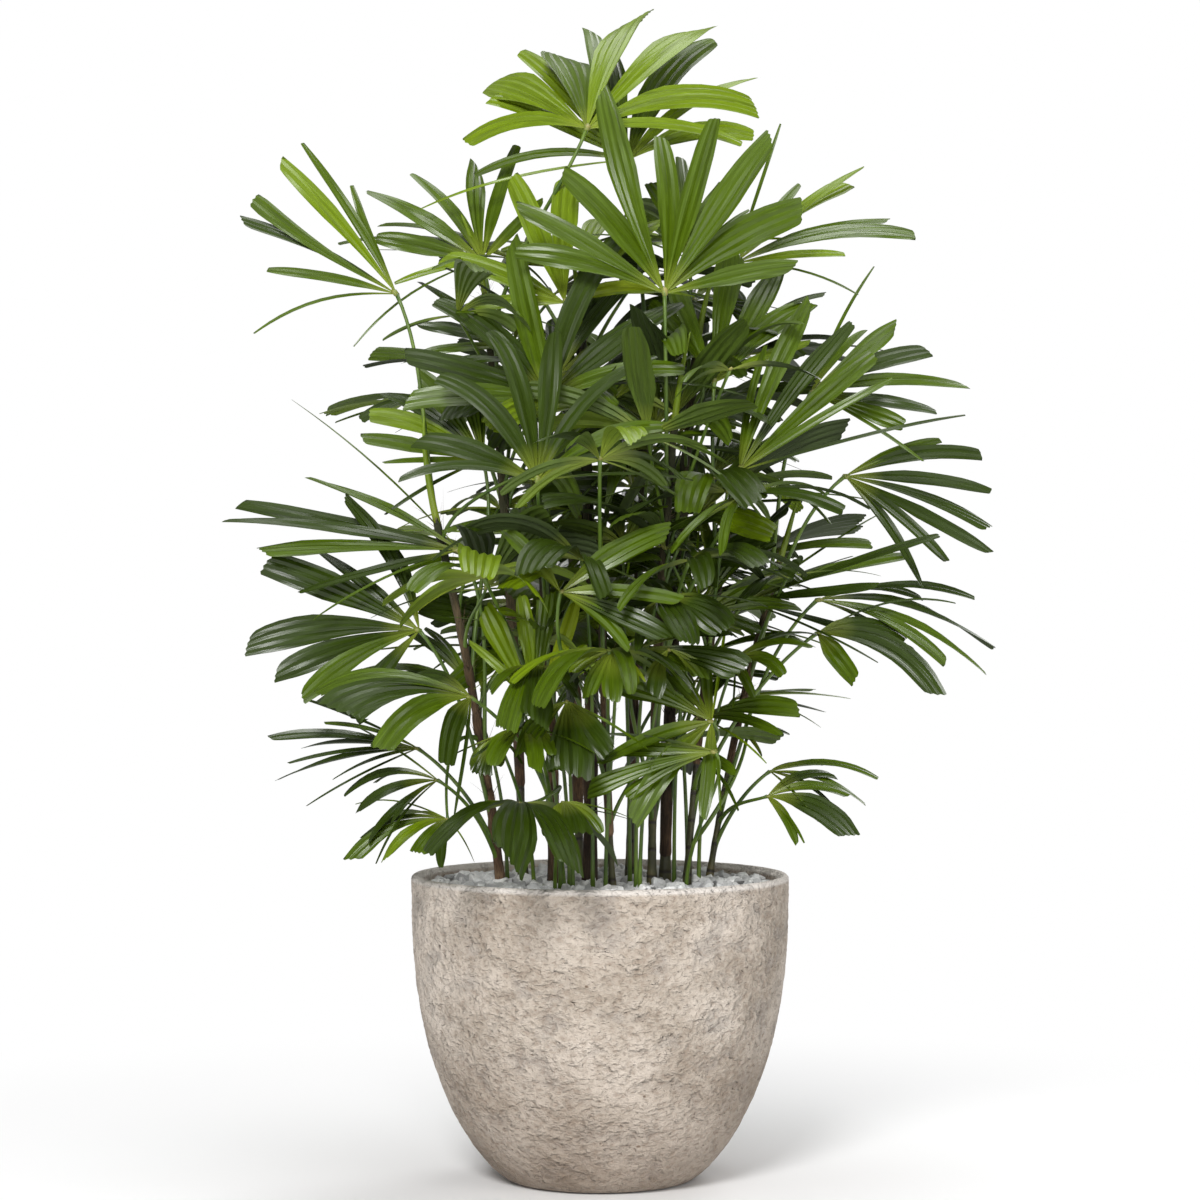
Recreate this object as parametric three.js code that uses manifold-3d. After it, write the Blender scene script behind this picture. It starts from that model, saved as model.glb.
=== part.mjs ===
// A lady palm (Rhapis) in a round stone-look planter: a clump of slender canes, each carrying
// stalked fan-shaped fronds, standing in a pebble-topped pot.
//
// Millimetres, +Z up. The origin is the centre of the pot's flat underside. -Y is the front.
// Every limb is worked out from the sizes below: a cane is one bent, tapering cylinder, a
// stalk runs from its cane to a hub, and a frond's blade is a fan of leaflets round that hub.

import * as THREE from "three";
import { mergeVertices } from "three/addons/utils/BufferGeometryUtils.js";
import Module from "manifold-3d";

const wasm = await Module();
wasm.setup();

// ---------------------------------------------------------------- driving dimensions

const GAP = 0.3; // clear space between two pieces that touch in life
const DEG = Math.PI / 180;
const UP = new THREE.Vector3(0, 0, 1);

const POT = {
  height: 346,
  rimRadius: 214.5,
  footRadius: 100, // the flat it stands on, out to where the side begins
  shoulder: 330, // above this height the side is upright
  swell: 2.35, // how fast the side steepens above the foot
  belly: 0.7, // how far it rounds out low down
  wall: 13,
  lip: 5, // radius of the rounded lip
  sides: 32,
};

const BED = {
  top: 331, // ground level: the canes are cut flat just above it
  thick: 12,
  stones: 28,
  stoneRadius: [11, 17],
  seed: 41,
};

// One cane: where it stands on the ground, where its tip is, and its foot's radius.
const CANES = [
  { foot: [-112, -12], tip: [-188, -22, 760], radius: 7 },
  { foot: [-88, 38], tip: [-132, 52, 1010], radius: 8.5 },
  { foot: [-52, -42], tip: [-72, -84, 815], radius: 9 },
  { foot: [-12, -8], tip: [-22, 14, 960], radius: 11 },
  { foot: [34, 52], tip: [58, 92, 930], radius: 8 },
  { foot: [58, -46], tip: [82, -96, 850], radius: 8 },
  { foot: [74, 8], tip: [112, 28, 955], radius: 9.5 },
  { foot: [98, -24], tip: [152, -42, 790], radius: 7 },
  { foot: [124, 22], tip: [206, 34, 700], radius: 6.5 },
  { foot: [-24, 96], tip: [-38, 150, 885], radius: 8.5 },
  { foot: [14, -92], tip: [2, -150, 640], radius: 6.5 },
];
const CANE = { sides: 7, spans: 7, flare: 1.3, taper: 0.62, bow: 14 };

// One frond, in the order of the columns below. hub is the top of the stalk; aim and rise are
// the heading (0 = +X, 90 = +Y) and climb of the fan's middle line; face is how far its upper
// side turns from the sky towards the front; spread is the fan's opening.
const COLUMNS = ["cane", "hub", "aim", "rise", "face", "leaflets", "spread", "length", "width", "droop"];
const FRONDS = [
  // the crown's top
  [2, [-15, -20, 1190], 74, 50, 20, 7, 135, 242, 46, 0.6],
  [5, [32, 20, 1160], 102, 60, 65, 7, 130, 250, 31, 0.55],
  [6, [71, -130, 993], 92, 72, 70, 9, 135, 230, 34, 0.3],
  [7, [105, 60, 1050], 90, 60, 70, 5, 80, 140, 20, 0.2],
  [2, [-135, 30, 1046], 150, 55, 60, 7, 140, 165, 22, 0.3],
  [1, [-230, -20, 1003], 180, 42, 62, 6, 56, 208, 20, 0.1],
  [3, [-39, -60, 989], 110, 70, 75, 6, 140, 155, 36, 0.5],
  [7, [155, 40, 1044], 5, 32, 40, 6, 62, 208, 28, 0.35],
  // left side, downwards
  [2, [-100, 20, 946], 160, 45, 55, 6, 100, 130, 14, 0.2],
  [3, [-57, -130, 879], 110, 68, 76, 7, 150, 205, 36, 0.4],
  [1, [-134, 20, 817], 172, 45, 55, 7, 96, 150, 22, 0.35],
  [1, [-158, -40, 713], 180, 11, 45, 5, 46, 268, 28, 0.25],
  [1, [-202, -60, 623], 182, 17, 60, 8, 126, 188, 27, 0.35],
  [3, [-125, -200, 681], 250, 22, 0, 6, 180, 155, 36, 1.1],
  [3, [-141, -150, 551], 202, 5, 35, 5, 115, 165, 42, 0.8],
  [1, [-205, -40, 490], 182, 4, 30, 6, 60, 150, 12, 0.4],
  [1, [-180, -90, 457], 195, 0, 40, 5, 80, 115, 28, 0.9],
  [1, [-168, -110, 415], 215, 5, 25, 6, 120, 112, 30, 1.0],
  // the middle, towards the front
  [3, [-67, -225, 784], 100, 72, 72, 8, 140, 195, 26, 0.6],
  [3, [-71, -180, 543], 90, 78, 80, 6, 80, 128, 24, 0.1],
  [3, [-86, -185, 437], 262, 12, 10, 5, 145, 165, 46, 1.35],
  [11, [10, -215, 603], 275, 10, 15, 7, 230, 130, 26, 1.1],
  [6, [43, -170, 604], 350, 10, 30, 4, 90, 118, 42, 0.4],
  [11, [-42, -240, 665], 20, 35, 45, 7, 170, 140, 26, 0.5],
  [11, [0, -260, 805], 275, 35, 20, 8, 200, 130, 22, 1.0],
  [6, [97, -190, 700], 300, 15, 15, 7, 200, 160, 26, 0.8],
  [6, [153, -200, 767], 300, 12, 30, 7, 250, 155, 22, 0.8],
  [5, [63, 20, 855], 60, 50, 40, 7, 160, 150, 24, 0.5],
  [8, [121, -170, 525], 180, 5, 60, 6, 170, 150, 30, 0.3],
  // right side, downwards
  [8, [128, -60, 900], 64, 60, 70, 6, 95, 168, 30, 0.2],
  [8, [152, -150, 798], 20, 55, 65, 5, 50, 245, 24, 0.2],
  [9, [239, -20, 892], 0, 18, 60, 6, 84, 162, 28, 0.3],
  [9, [277, -20, 797], 0, -9, 70, 7, 86, 200, 21, 0.35],
  [7, [165, -20, 655], 0, 9, 35, 5, 50, 225, 24, 0.2],
  [9, [245, -30, 657], 0, 1, 40, 6, 56, 195, 23, 0.7],
  [8, [243, -60, 620], 334, 0, 45, 3, 68, 145, 36, 1.0],
  [8, [156, 60, 543], 8, 6, 14, 5, 96, 122, 14, 0.25],
  [9, [193, 0, 462], 0, 5, 20, 4, 80, 128, 16, 0.7],
  [9, [188, -40, 436], 342, 6, 35, 4, 90, 112, 22, 0.8],
  [8, [168, 20, 502], 0, 20, 30, 3, 120, 60, 9, 0.9],
];

// The fronds round the back, in threes: each three springs from one sheath on its cane.
const BACK_GROUPS = [
  { cane: 10, share: 0.84, aim: 92 },
  { cane: 10, share: 0.4, aim: 105 },
  { cane: 5, share: 0.78, aim: 62 },
  { cane: 5, share: 0.34, aim: 55 },
  { cane: 2, share: 0.62, aim: 84 },
  { cane: 4, share: 0.9, aim: 105 },
];
const BACK = {
  fronds: 3,
  turn: 46, // degrees between the headings of a group's fronds
  climb: [46, 62], // of the stalk
  stalk: [150, 200],
  leaflets: 7,
  spread: [120, 170],
  length: [165, 200],
  width: [20, 30],
  droop: [0.35, 0.8],
  seed: 7,
};
const SHEATH = { height: 34, thick: 3 };

const LEAF = {
  palm: 0.12, // share of a leaflet's length that is one blade with its neighbours
  palmRoom: 1.1, // the ball that is kept free round each palm, over the palm's radius
  straight: [0.36, 0.7, 1], // where a stiff leaflet's cross-sections are, from hub to tip
  bent: [0.32, 0.56, 0.8, 1],
  bends: 0.7, // droop from which a leaflet has the bent ones
  steps: 25, // steps along a leaflet in which its sag is worked out
  share: 0.9, // most of the room between two leaflets that a leaflet's width takes
  thick: 0.011, // thickness over length
  leastThick: 2,
  fold: 0.22, // how deep a leaflet's trough is, over its half width
  hubThick: 2.4,
  swings: [0, 7, -7, 14, -14, 21, -21], // degrees out of the fan that let it pass a neighbour
  cuts: [1, 0.75], // and lengths
};
const STALK = {
  sides: 3,
  spans: 6,
  foot: 2.6, // radius at the cane
  head: 1.9, // and at the hub
  length: 270,
  lowLength: 0.85, // most of a low hub's height over the ground that its stalk's length takes
  lowest: 0.05, // shares of its cane's height that a stalk springs from
  highest: 0.97,
  // A stalk that would touch a piece has another foot, that share of the cane up or down, or
  // bows round the piece, to the side by that share of its own length.
  shifts: [0, -0.04, 0.04, -0.08, 0.08, -0.12, 0.12, 0.16, 0.2],
  bows: [0, 0.1, -0.1, 0.2, -0.2, 0.3, -0.3],
};

// ---------------------------------------------------------------- small tools

const vec = (x, y, z) => new THREE.Vector3(x, y, z);

// A repeatable stream of numbers from 0 to 1.
function randomFrom(seed) {
  let state = seed >>> 0;
  return () => {
    state = (state + 0x6d2b79f5) >>> 0;
    let t = state;
    t = Math.imul(t ^ (t >>> 15), t | 1);
    t ^= t + Math.imul(t ^ (t >>> 7), t | 61);
    return ((t ^ (t >>> 14)) >>> 0) / 4294967296;
  };
}

// A closed three.js geometry as a solid that can be joined and cut.
function solidOf(geometry) {
  const bare = geometry.clone();
  bare.deleteAttribute("normal");
  bare.deleteAttribute("uv");
  const merged = mergeVertices(bare, 1e-4);
  return new wasm.Manifold(
    new wasm.Mesh({
      numProp: 3,
      vertProperties: new Float32Array(merged.attributes.position.array),
      triVerts: new Uint32Array(merged.index.array),
    }),
  );
}

function geometryOf(solid) {
  const mesh = solid.getMesh();
  const positions = new Float32Array(mesh.numVert * 3);
  for (let i = 0; i < mesh.numVert; i++) {
    const from = i * mesh.numProp;
    positions.set(mesh.vertProperties.subarray(from, from + 3), i * 3);
  }
  const geometry = new THREE.BufferGeometry();
  geometry.setAttribute("position", new THREE.BufferAttribute(positions, 3));
  geometry.setIndex(new THREE.BufferAttribute(mesh.triVerts, 1));
  geometry.computeVertexNormals();
  return geometry;
}

// A geometry from its points and triangles of point numbers.
function shellOf(points, triangles) {
  const geometry = new THREE.BufferGeometry();
  const numbers = points.flatMap((p) => p.toArray());
  geometry.setAttribute("position", new THREE.Float32BufferAttribute(numbers, 3));
  geometry.setIndex(triangles.flat());
  return geometry;
}

const largest = (solid) => solid.decompose().sort((a, b) => b.volume() - a.volume())[0];

// ---------------------------------------------------------------- pot, soil, pebbles

// The outside radius of the pot at a height.
function potRadius(z) {
  const left = 1 - Math.min(z / POT.shoulder, 1);
  return POT.footRadius + (POT.rimRadius - POT.footRadius) * (1 - left ** POT.swell) ** POT.belly;
}

// Heights that are close together low down, where the side curves most.
function wallHeights(from, to, count) {
  return Array.from({ length: count }, (_, i) => from + (to - from) * (i / (count - 1)) ** 1.7);
}

// The inside of the wall as straight stretches, and the room that they leave at a height.
const INSIDE = wallHeights(POT.wall, POT.height - POT.lip, 7).map((z) => {
  return new THREE.Vector2(potRadius(z) - POT.wall, z);
});
function roomAt(z) {
  const above = INSIDE.findIndex((p) => p.y >= z);
  const [low, high] = [INSIDE[above - 1], INSIDE[above]];
  return THREE.MathUtils.mapLinear(z, low.y, high.y, low.x, high.x) - 2 * GAP;
}

function potGeometry() {
  const outline = [new THREE.Vector2(0, 0), new THREE.Vector2(POT.footRadius - 4, 0)];
  const lipFoot = POT.height - POT.lip;
  for (const z of wallHeights(2, lipFoot, 9)) outline.push(new THREE.Vector2(potRadius(z), z));
  for (let i = 1; i < 4; i++) {
    const turn = (i / 4) * Math.PI;
    const out = POT.rimRadius - POT.lip + POT.lip * Math.cos(turn);
    outline.push(new THREE.Vector2(out, lipFoot + POT.lip * Math.sin(turn)));
  }
  outline.push(...INSIDE.toReversed(), new THREE.Vector2(0, POT.wall));
  return new THREE.LatheGeometry(outline, POT.sides).rotateX(Math.PI / 2);
}

function soilGeometry(top) {
  const outline = [new THREE.Vector2(0, POT.wall + GAP)];
  for (const { x, y } of INSIDE.filter((p) => p.y < top)) {
    outline.push(new THREE.Vector2(x - 2 * GAP, y + GAP));
  }
  outline.push(new THREE.Vector2(roomAt(top), top), new THREE.Vector2(0, top));
  return new THREE.LatheGeometry(outline, POT.sides).rotateX(Math.PI / 2);
}

// The top dressing: a thin plate of pebbles with the larger ones standing out of it, none under a cane.
function bedSolid() {
  const reach = roomAt(BED.top - BED.thick) - GAP;
  const plate = new THREE.CylinderGeometry(reach, reach, BED.thick, POT.sides);
  plate.rotateX(Math.PI / 2).translate(0, 0, BED.top - BED.thick / 2);
  let bed = solidOf(plate);
  const random = randomFrom(BED.seed);
  const golden = Math.PI * (3 - Math.sqrt(5));
  for (let i = 0; i < BED.stones; i++) {
    const radius = THREE.MathUtils.lerp(...BED.stoneRadius, random());
    const out = (reach - radius - 3) * Math.sqrt((i + 0.5) / BED.stones);
    const at = vec(out * Math.cos(i * golden), out * Math.sin(i * golden), BED.top - radius * 0.12);
    const turned = new THREE.Euler(random() * 6, random() * 6, random() * 6);
    const clear = CANES.every(({ foot, radius: r }) => {
      return Math.hypot(foot[0] - at.x, foot[1] - at.y) > r * CANE.flare + radius + 2;
    });
    if (!clear) continue;
    const stone = new THREE.IcosahedronGeometry(radius, 0);
    stone.applyMatrix4(new THREE.Matrix4().makeRotationFromEuler(turned));
    stone.scale(1, 1, 0.55).translate(at.x, at.y, at.z);
    bed = bed.add(solidOf(stone));
  }
  return bed;
}

// ---------------------------------------------------------------- limbs

// A cylinder bent along a curve, with its own radius at each share of the way.
function limbGeometry(curve, radiusAt, sides, spans) {
  const geometry = new THREE.CylinderGeometry(1, 1, 1, sides, spans);
  const frames = curve.computeFrenetFrames(spans, false);
  const position = geometry.attributes.position;
  for (let i = 0; i < position.count; i++) {
    const share = position.getY(i) + 0.5;
    const ring = Math.round(share * spans);
    const radius = radiusAt(share);
    const at = curve.getPoint(ring / spans);
    at.addScaledVector(frames.normals[ring], position.getX(i) * radius);
    at.addScaledVector(frames.binormals[ring], -position.getZ(i) * radius);
    position.setXYZ(i, at.x, at.y, at.z);
  }
  return geometry;
}

// A cane's middle line: up from its foot, bowed a little away from the clump's middle.
function caneCurve({ foot, tip }) {
  const start = vec(foot[0], foot[1], BED.top + GAP);
  const end = vec(...tip);
  const middle = start.clone().lerp(end, 0.5);
  const out = vec(foot[0], foot[1], 0).normalize().multiplyScalar(CANE.bow);
  return new THREE.QuadraticBezierCurve3(start, middle.sub(out), end);
}

// The foot flares a little, and is cut flat at ground level.
function caneSolid(cane, grow = 0) {
  const radiusAt = (share) => {
    const flare = 1 + (CANE.flare - 1) * Math.max(0, 1 - share * 12);
    return cane.radius * (1 - (1 - CANE.taper) * share) * flare + grow;
  };
  const geometry = limbGeometry(caneCurve(cane), radiusAt, CANE.sides, CANE.spans);
  const position = geometry.attributes.position;
  if (!grow) {
    for (let i = 0; i < position.count; i++) {
      if (position.getZ(i) < BED.top + 8) position.setZ(i, BED.top + GAP);
    }
  }
  return solidOf(geometry);
}

// The share of the cane's height from which a stalk of the usual length reaches the hub. A hub
// that is low down has a shorter stalk.
function stalkShare(curve, hub) {
  const reach = Math.min(STALK.length, STALK.lowLength * (hub.z - BED.top));
  let best = STALK.lowest;
  for (let share = STALK.lowest; share <= STALK.highest; share += 0.01) {
    const at = curve.getPoint(share);
    if (at.distanceTo(hub) >= reach && at.z < hub.z) best = share;
  }
  return best;
}

// A stalk leaves its cane steeply, bows outwards and ends at the hub, heading for the fan.
function stalkCurve(frond, shift, bow) {
  const cane = caneCurve(CANES[frond.cane - 1]);
  const usual = stalkShare(cane, frond.hub) + shift;
  const share = frond.share ?? THREE.MathUtils.clamp(usual, STALK.lowest, STALK.highest);
  const start = cane.getPoint(share);
  const along = frond.hub.clone().sub(start);
  const length = along.length();
  const leave = cane.getTangent(share).multiplyScalar(1.2).add(along.clone().normalize()).normalize();
  const arrive = along.clone().normalize().multiplyScalar(1.6).add(frond.axis).normalize();
  const side = along.clone().cross(UP).normalize().multiplyScalar(bow * length);
  return new THREE.CubicBezierCurve3(
    start,
    start.clone().addScaledVector(leave, length * 0.36).add(side),
    frond.hub.clone().addScaledVector(arrive, -length * 0.3).add(side),
    frond.hub.clone(),
  );
}

function stalkSolid(curve, grow = 0) {
  const radiusAt = (share) => THREE.MathUtils.lerp(STALK.foot, STALK.head, share) + grow;
  return solidOf(limbGeometry(curve, radiusAt, STALK.sides, STALK.spans));
}

// The sheath that a group's stalks spring from: a sleeve round its cane.
function sheathSolid({ cane, share }) {
  const sleeve = caneSolid(CANES[cane - 1], GAP + SHEATH.thick);
  const at = caneCurve(CANES[cane - 1]).getPoint(share);
  const slab = new THREE.BoxGeometry(90, 90, SHEATH.height).translate(at.x, at.y, at.z);
  return sleeve.intersect(solidOf(slab));
}

// ---------------------------------------------------------------- fronds

// The heading as a unit vector: aim turns about Z from +X, rise lifts it.
function heading(aim, rise) {
  const level = Math.cos(rise * DEG);
  return vec(level * Math.cos(aim * DEG), level * Math.sin(aim * DEG), Math.sin(rise * DEG));
}

// The frond's own frame: axis is its middle line, up its upper side, side across it.
function withFrame(frond) {
  const axis = heading(frond.aim, frond.rise);
  const up = vec(0, -Math.sin(frond.face * DEG), Math.cos(frond.face * DEG));
  up.addScaledVector(axis, -up.dot(axis)).normalize();
  return { ...frond, axis, up, side: up.clone().cross(axis) };
}

function frontFrond(row, index) {
  const frond = Object.fromEntries(COLUMNS.map((name, i) => [name, row[i]]));
  return withFrame({ ...frond, hub: vec(...frond.hub), seed: index });
}

// A back group's fronds: their stalks fan out from one foot, and their sizes vary a little.
function backFronds(group, index) {
  const random = randomFrom(BACK.seed + index);
  const pick = ([low, high]) => THREE.MathUtils.lerp(low, high, random());
  const foot = caneCurve(CANES[group.cane - 1]).getPoint(group.share);
  return Array.from({ length: BACK.fronds }, (_, i) => {
    const aim = group.aim + (i - (BACK.fronds - 1) / 2) * BACK.turn;
    const hub = foot.clone().addScaledVector(heading(aim, pick(BACK.climb)), pick(BACK.stalk));
    return withFrame({
      ...group,
      hub,
      aim,
      rise: 10 + 25 * random(),
      face: 0,
      leaflets: BACK.leaflets,
      spread: pick(BACK.spread),
      length: pick(BACK.length),
      width: pick(BACK.width),
      droop: pick(BACK.droop),
      seed: 100 + 10 * index + i,
    });
  });
}

// The direction in the fan at an angle from its middle line.
function fanDirection(frond, angle) {
  return frond.axis.clone().multiplyScalar(Math.cos(angle)).addScaledVector(frond.side, Math.sin(angle));
}

// Each leaflet's place in the fan and its sizes: the outer ones are shorter and narrower. Its
// room is the angle to its nearer neighbour.
function leafletsOf(frond) {
  const random = randomFrom(frond.seed * 977 + 5);
  const vary = (amount) => 1 + amount * (2 * random() - 1);
  const last = frond.leaflets - 1;
  const step = (frond.spread * DEG) / last;
  const leaves = Array.from({ length: frond.leaflets }, (_, i) => {
    const outward = Math.abs((2 * i) / last - 1);
    return {
      angle: (i - last / 2) * step + step * 0.25 * (2 * random() - 1),
      length: frond.length * (1 - 0.3 * outward ** 2) * vary(0.15),
      width: frond.width * (1 - 0.5 * outward ** 2) * vary(0.38),
      droop: frond.droop * vary(0.25),
      lift: 0.12 * (2 * random() - 1),
    };
  });
  const gaps = leaves.slice(1).map((leaf, i) => leaf.angle - leaves[i].angle);
  leaves.forEach((leaf, i) => {
    leaf.room = Math.min(gaps[i - 1] ?? step, gaps[i] ?? step);
  });
  return leaves;
}

// Half of a leaflet's width: narrow at the palm, widest past the middle, blunt at the tip.
function halfWidth(leaf, share) {
  const rising = Math.min(1, 0.3 + 1.6 * share);
  const blunt = share > 0.93 ? 1 - ((share - 0.93) / 0.07) * 0.45 : 1;
  const full = (leaf.width / 2) * rising * (1 - 0.25 * share ** 2) * blunt;
  return Math.min(full, (LEAF.share / 2) * leaf.room * share * leaf.length);
}

const thickOf = (leaf) => Math.max(LEAF.leastThick, leaf.length * LEAF.thick);

// The leaflet's cross-sections beyond the palm, to its tip: left edge, right edge, keel.
function leafletRings(frond, leaf, swing, cut, grow = 0) {
  const across = fanDirection(frond, leaf.angle + Math.PI / 2);
  const tilt = leaf.lift + swing * DEG;
  const way = fanDirection(frond, leaf.angle).multiplyScalar(Math.cos(tilt));
  way.addScaledVector(frond.up, Math.sin(tilt));
  const length = leaf.length * cut;
  const thick = thickOf(leaf) + grow;
  const stations = leaf.droop > LEAF.bends ? LEAF.bent : LEAF.straight;
  const at = frond.hub.clone();
  const rings = [];
  for (let i = 1; i <= LEAF.steps; i++) {
    const share = i / LEAF.steps;
    const run = way.clone().addScaledVector(UP, -leaf.droop * share ** 1.5).normalize();
    at.addScaledVector(run, length / LEAF.steps);
    const station = stations[rings.length];
    if (share + 1e-9 < station) continue;
    const right = across.clone().addScaledVector(run, -across.dot(run)).normalize();
    const top = run.clone().cross(right);
    const half = halfWidth(leaf, station) + grow;
    const edge = at.clone().addScaledVector(top, half * LEAF.fold * (1 - station) + grow);
    rings.push([
      edge.clone().addScaledVector(right, -half),
      edge.clone().addScaledVector(right, half),
      at.clone().addScaledVector(top, -thick),
    ]);
  }
  return rings;
}

// Triangles between two rings of three points, given the number of each ring's first point.
function band(a, b) {
  return [0, 1, 2].flatMap((k) => {
    const next = (k + 1) % 3;
    return [
      [a + k, b + k, b + next],
      [a + k, b + next, a + next],
    ];
  });
}

// The notches round the palm, from which the leaflets part.
function palmRim(frond, leaves) {
  const angles = leaves.map((leaf) => leaf.angle);
  const rim = 0.4 * ((frond.spread * DEG) / (frond.leaflets - 1));
  const between = angles.slice(1).map((angle, i) => (angle + angles[i]) / 2);
  return [angles[0] - rim, ...between, angles.at(-1) + rim].map((angle) => {
    return frond.hub.clone().addScaledVector(fanDirection(frond, angle), LEAF.palm * frond.length);
  });
}

// The point under a leaflet's middle line at the palm's rim.
function palmKeel(frond, leaf) {
  const out = fanDirection(frond, leaf.angle).multiplyScalar(LEAF.palm * frond.length);
  return frond.hub.clone().add(out).addScaledVector(frond.up, -thickOf(leaf));
}

// The leaflet's cross-sections a little larger, its root first, to try it against what is there.
function trialRings(frond, leaf, ends, swing, cut) {
  const root = [...ends, palmKeel(frond, leaf)];
  const middle = root[0].clone().add(root[1]).add(root[2]).divideScalar(3);
  const wider = root.map((p) => p.clone().addScaledVector(p.clone().sub(middle).normalize(), 4 * GAP));
  return [wider, ...leafletRings(frond, leaf, swing, cut, 2 * GAP)];
}

function solidOfRings(rings) {
  const last = 3 * (rings.length - 1);
  const triangles = [[0, 1, 2], [last, last + 2, last + 1]];
  for (let i = 1; i < rings.length; i++) triangles.push(...band(3 * (i - 1), 3 * i));
  return solidOf(shellOf(rings.flat(), triangles));
}

// The whole blade as one skin: a palm round the hub that runs out into the leaflets.
function bladeGeometry(frond, leaves, rim) {
  const { hub, up } = frond;
  const thick = LEAF.hubThick;
  const points = [hub.clone().addScaledVector(up, thick), hub.clone().addScaledVector(up, -thick), ...rim];
  const triangles = [];
  leaves.forEach((leaf, i) => {
    const [left, right] = [2 + i, 3 + i];
    const keel = points.push(palmKeel(frond, leaf)) - 1;
    triangles.push([0, left, right], [1, keel, left], [1, right, keel]);
    if (!leaf.rings) {
      triangles.push([left, keel, right]);
      return;
    }
    const first = points.length;
    points.push(...leaf.rings.flat());
    const root = [left, right, keel];
    for (let k = 0; k < 3; k++) {
      const next = (k + 1) % 3;
      triangles.push([root[k], first + k, first + next], [root[k], first + next, root[next]]);
    }
    const last = leaf.rings.length - 1;
    for (let r = 1; r <= last; r++) triangles.push(...band(first + 3 * (r - 1), first + 3 * r));
    const tip = first + 3 * last;
    triangles.push([tip, tip + 2, tip + 1]);
  });
  triangles.push([2, 0, 1], [0, 2 + leaves.length, 1]);
  return shellOf(points, triangles);
}

// ---------------------------------------------------------------- keeping pieces apart

const boxOf = (solid) => {
  const { min, max } = solid.boundingBox();
  return new THREE.Box3(vec(...min), vec(...max));
};
const obstacle = (solid, owner) => ({ solid, owner, box: boxOf(solid) });

function touches(solid, obstacles, own) {
  const box = boxOf(solid);
  const near = obstacles.filter((o) => !own.includes(o.owner) && o.box.intersectsBox(box));
  return near.some((o) => !solid.intersect(o.solid).isEmpty());
}

// The first way to the hub on which the stalk is clear of all pieces but its own, if any.
function clearStalk(frond, obstacles, own) {
  for (const shift of STALK.shifts) {
    for (const bow of STALK.bows) {
      const curve = stalkCurve(frond, shift, bow);
      if (!touches(stalkSolid(curve, 2 * GAP), obstacles, own)) return stalkSolid(curve);
    }
  }
  return null;
}

// The cross-sections of a leaflet that is clear: in the fan, swung out of it, or shorter. Beyond
// the palm it is also clear of its own fan's leaflets before it.
function clearRings(frond, leaf, ends, obstacles, own, fan) {
  for (const cut of LEAF.cuts) {
    for (const swing of LEAF.swings) {
      const rings = trialRings(frond, leaf, ends, swing, cut);
      if (touches(solidOfRings(rings), obstacles, own)) continue;
      if (touches(solidOfRings(rings.slice(1)), fan, [])) continue;
      fan.push(obstacle(solidOfRings(rings.slice(1)), "fan"));
      return leafletRings(frond, leaf, swing, cut);
    }
  }
  return null;
}

// ---------------------------------------------------------------- assembly

const finish = (color, roughness) => new THREE.MeshStandardMaterial({ color, roughness, metalness: 0 });
const MATERIALS = {
  stone: finish(0xa8998a, 0.9),
  pebble: finish(0xc9c9c8, 0.8),
  soil: finish(0x3a2c22, 1),
  cane: finish(0x5d4a30, 0.9),
  frond: finish(0x3f6d1c, 0.45),
};

const root = new THREE.Group();
function place(name, geometry, material) {
  const mesh = new THREE.Mesh(geometry, material);
  mesh.name = name;
  root.add(mesh);
}

const number = (i) => String(i + 1).padStart(2, "0");

place("pot", potGeometry(), MATERIALS.stone);
place("soil", soilGeometry(BED.top - BED.thick - GAP), MATERIALS.soil);
const bed = bedSolid();
place("pebble_bed", geometryOf(bed), MATERIALS.pebble);

const obstacles = [obstacle(solidOf(potGeometry()), "pot"), obstacle(bed, "pebble_bed")];
CANES.forEach((cane, i) => {
  const solid = caneSolid(cane);
  place(`cane_${number(i)}`, geometryOf(solid), MATERIALS.cane);
  obstacles.push(obstacle(solid, `cane_${number(i)}`));
});

// A node's fronds: one from the list, or a back group, whose sheath is there from the start.
const nodes = [
  ...FRONDS.map((row, i) => ({ name: `frond_${number(i)}`, fronds: [frontFrond(row, i)] })),
  ...BACK_GROUPS.map((group, i) => {
    return { name: `back_fronds_${i + 1}`, fronds: backFronds(group, i), sheath: sheathSolid(group) };
  }),
];
for (const { name, sheath } of nodes) if (sheath) obstacles.push(obstacle(sheath, name));

// Every stalk comes before the blades, each clear of the canes and of the stalks before it.
for (const { name, fronds } of nodes) {
  for (const frond of fronds) {
    frond.stalk = clearStalk(frond, obstacles, [`cane_${number(frond.cane - 1)}`, name]);
    if (!frond.stalk) continue;
    const palm = new THREE.IcosahedronGeometry(LEAF.palmRoom * LEAF.palm * frond.length, 1);
    obstacles.push(obstacle(frond.stalk, name));
    obstacles.push(obstacle(solidOf(palm.translate(...frond.hub.toArray())), name));
  }
}

// Then the blades. A leaflet that has no clear place is left out, and the palm closes over it.
for (const { name, fronds, sheath } of nodes) {
  const pieces = sheath ? [sheath] : [];
  for (const frond of fronds.filter((f) => f.stalk)) {
    const leaves = leafletsOf(frond);
    const rim = palmRim(frond, leaves);
    const fan = [];
    leaves.forEach((leaf, i) => {
      leaf.rings = clearRings(frond, leaf, rim.slice(i, i + 2), obstacles, [name], fan);
    });
    pieces.push(frond.stalk, solidOf(bladeGeometry(frond, leaves, rim)));
  }
  if (!pieces.length) continue;
  const joined = wasm.Manifold.union(pieces);
  const solid = largest(joined.subtract(caneSolid(CANES[fronds[0].cane - 1], GAP)));
  obstacles.push(obstacle(solid, name));
  place(name, geometryOf(solid), MATERIALS.frond);
}

export default root;
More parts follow.
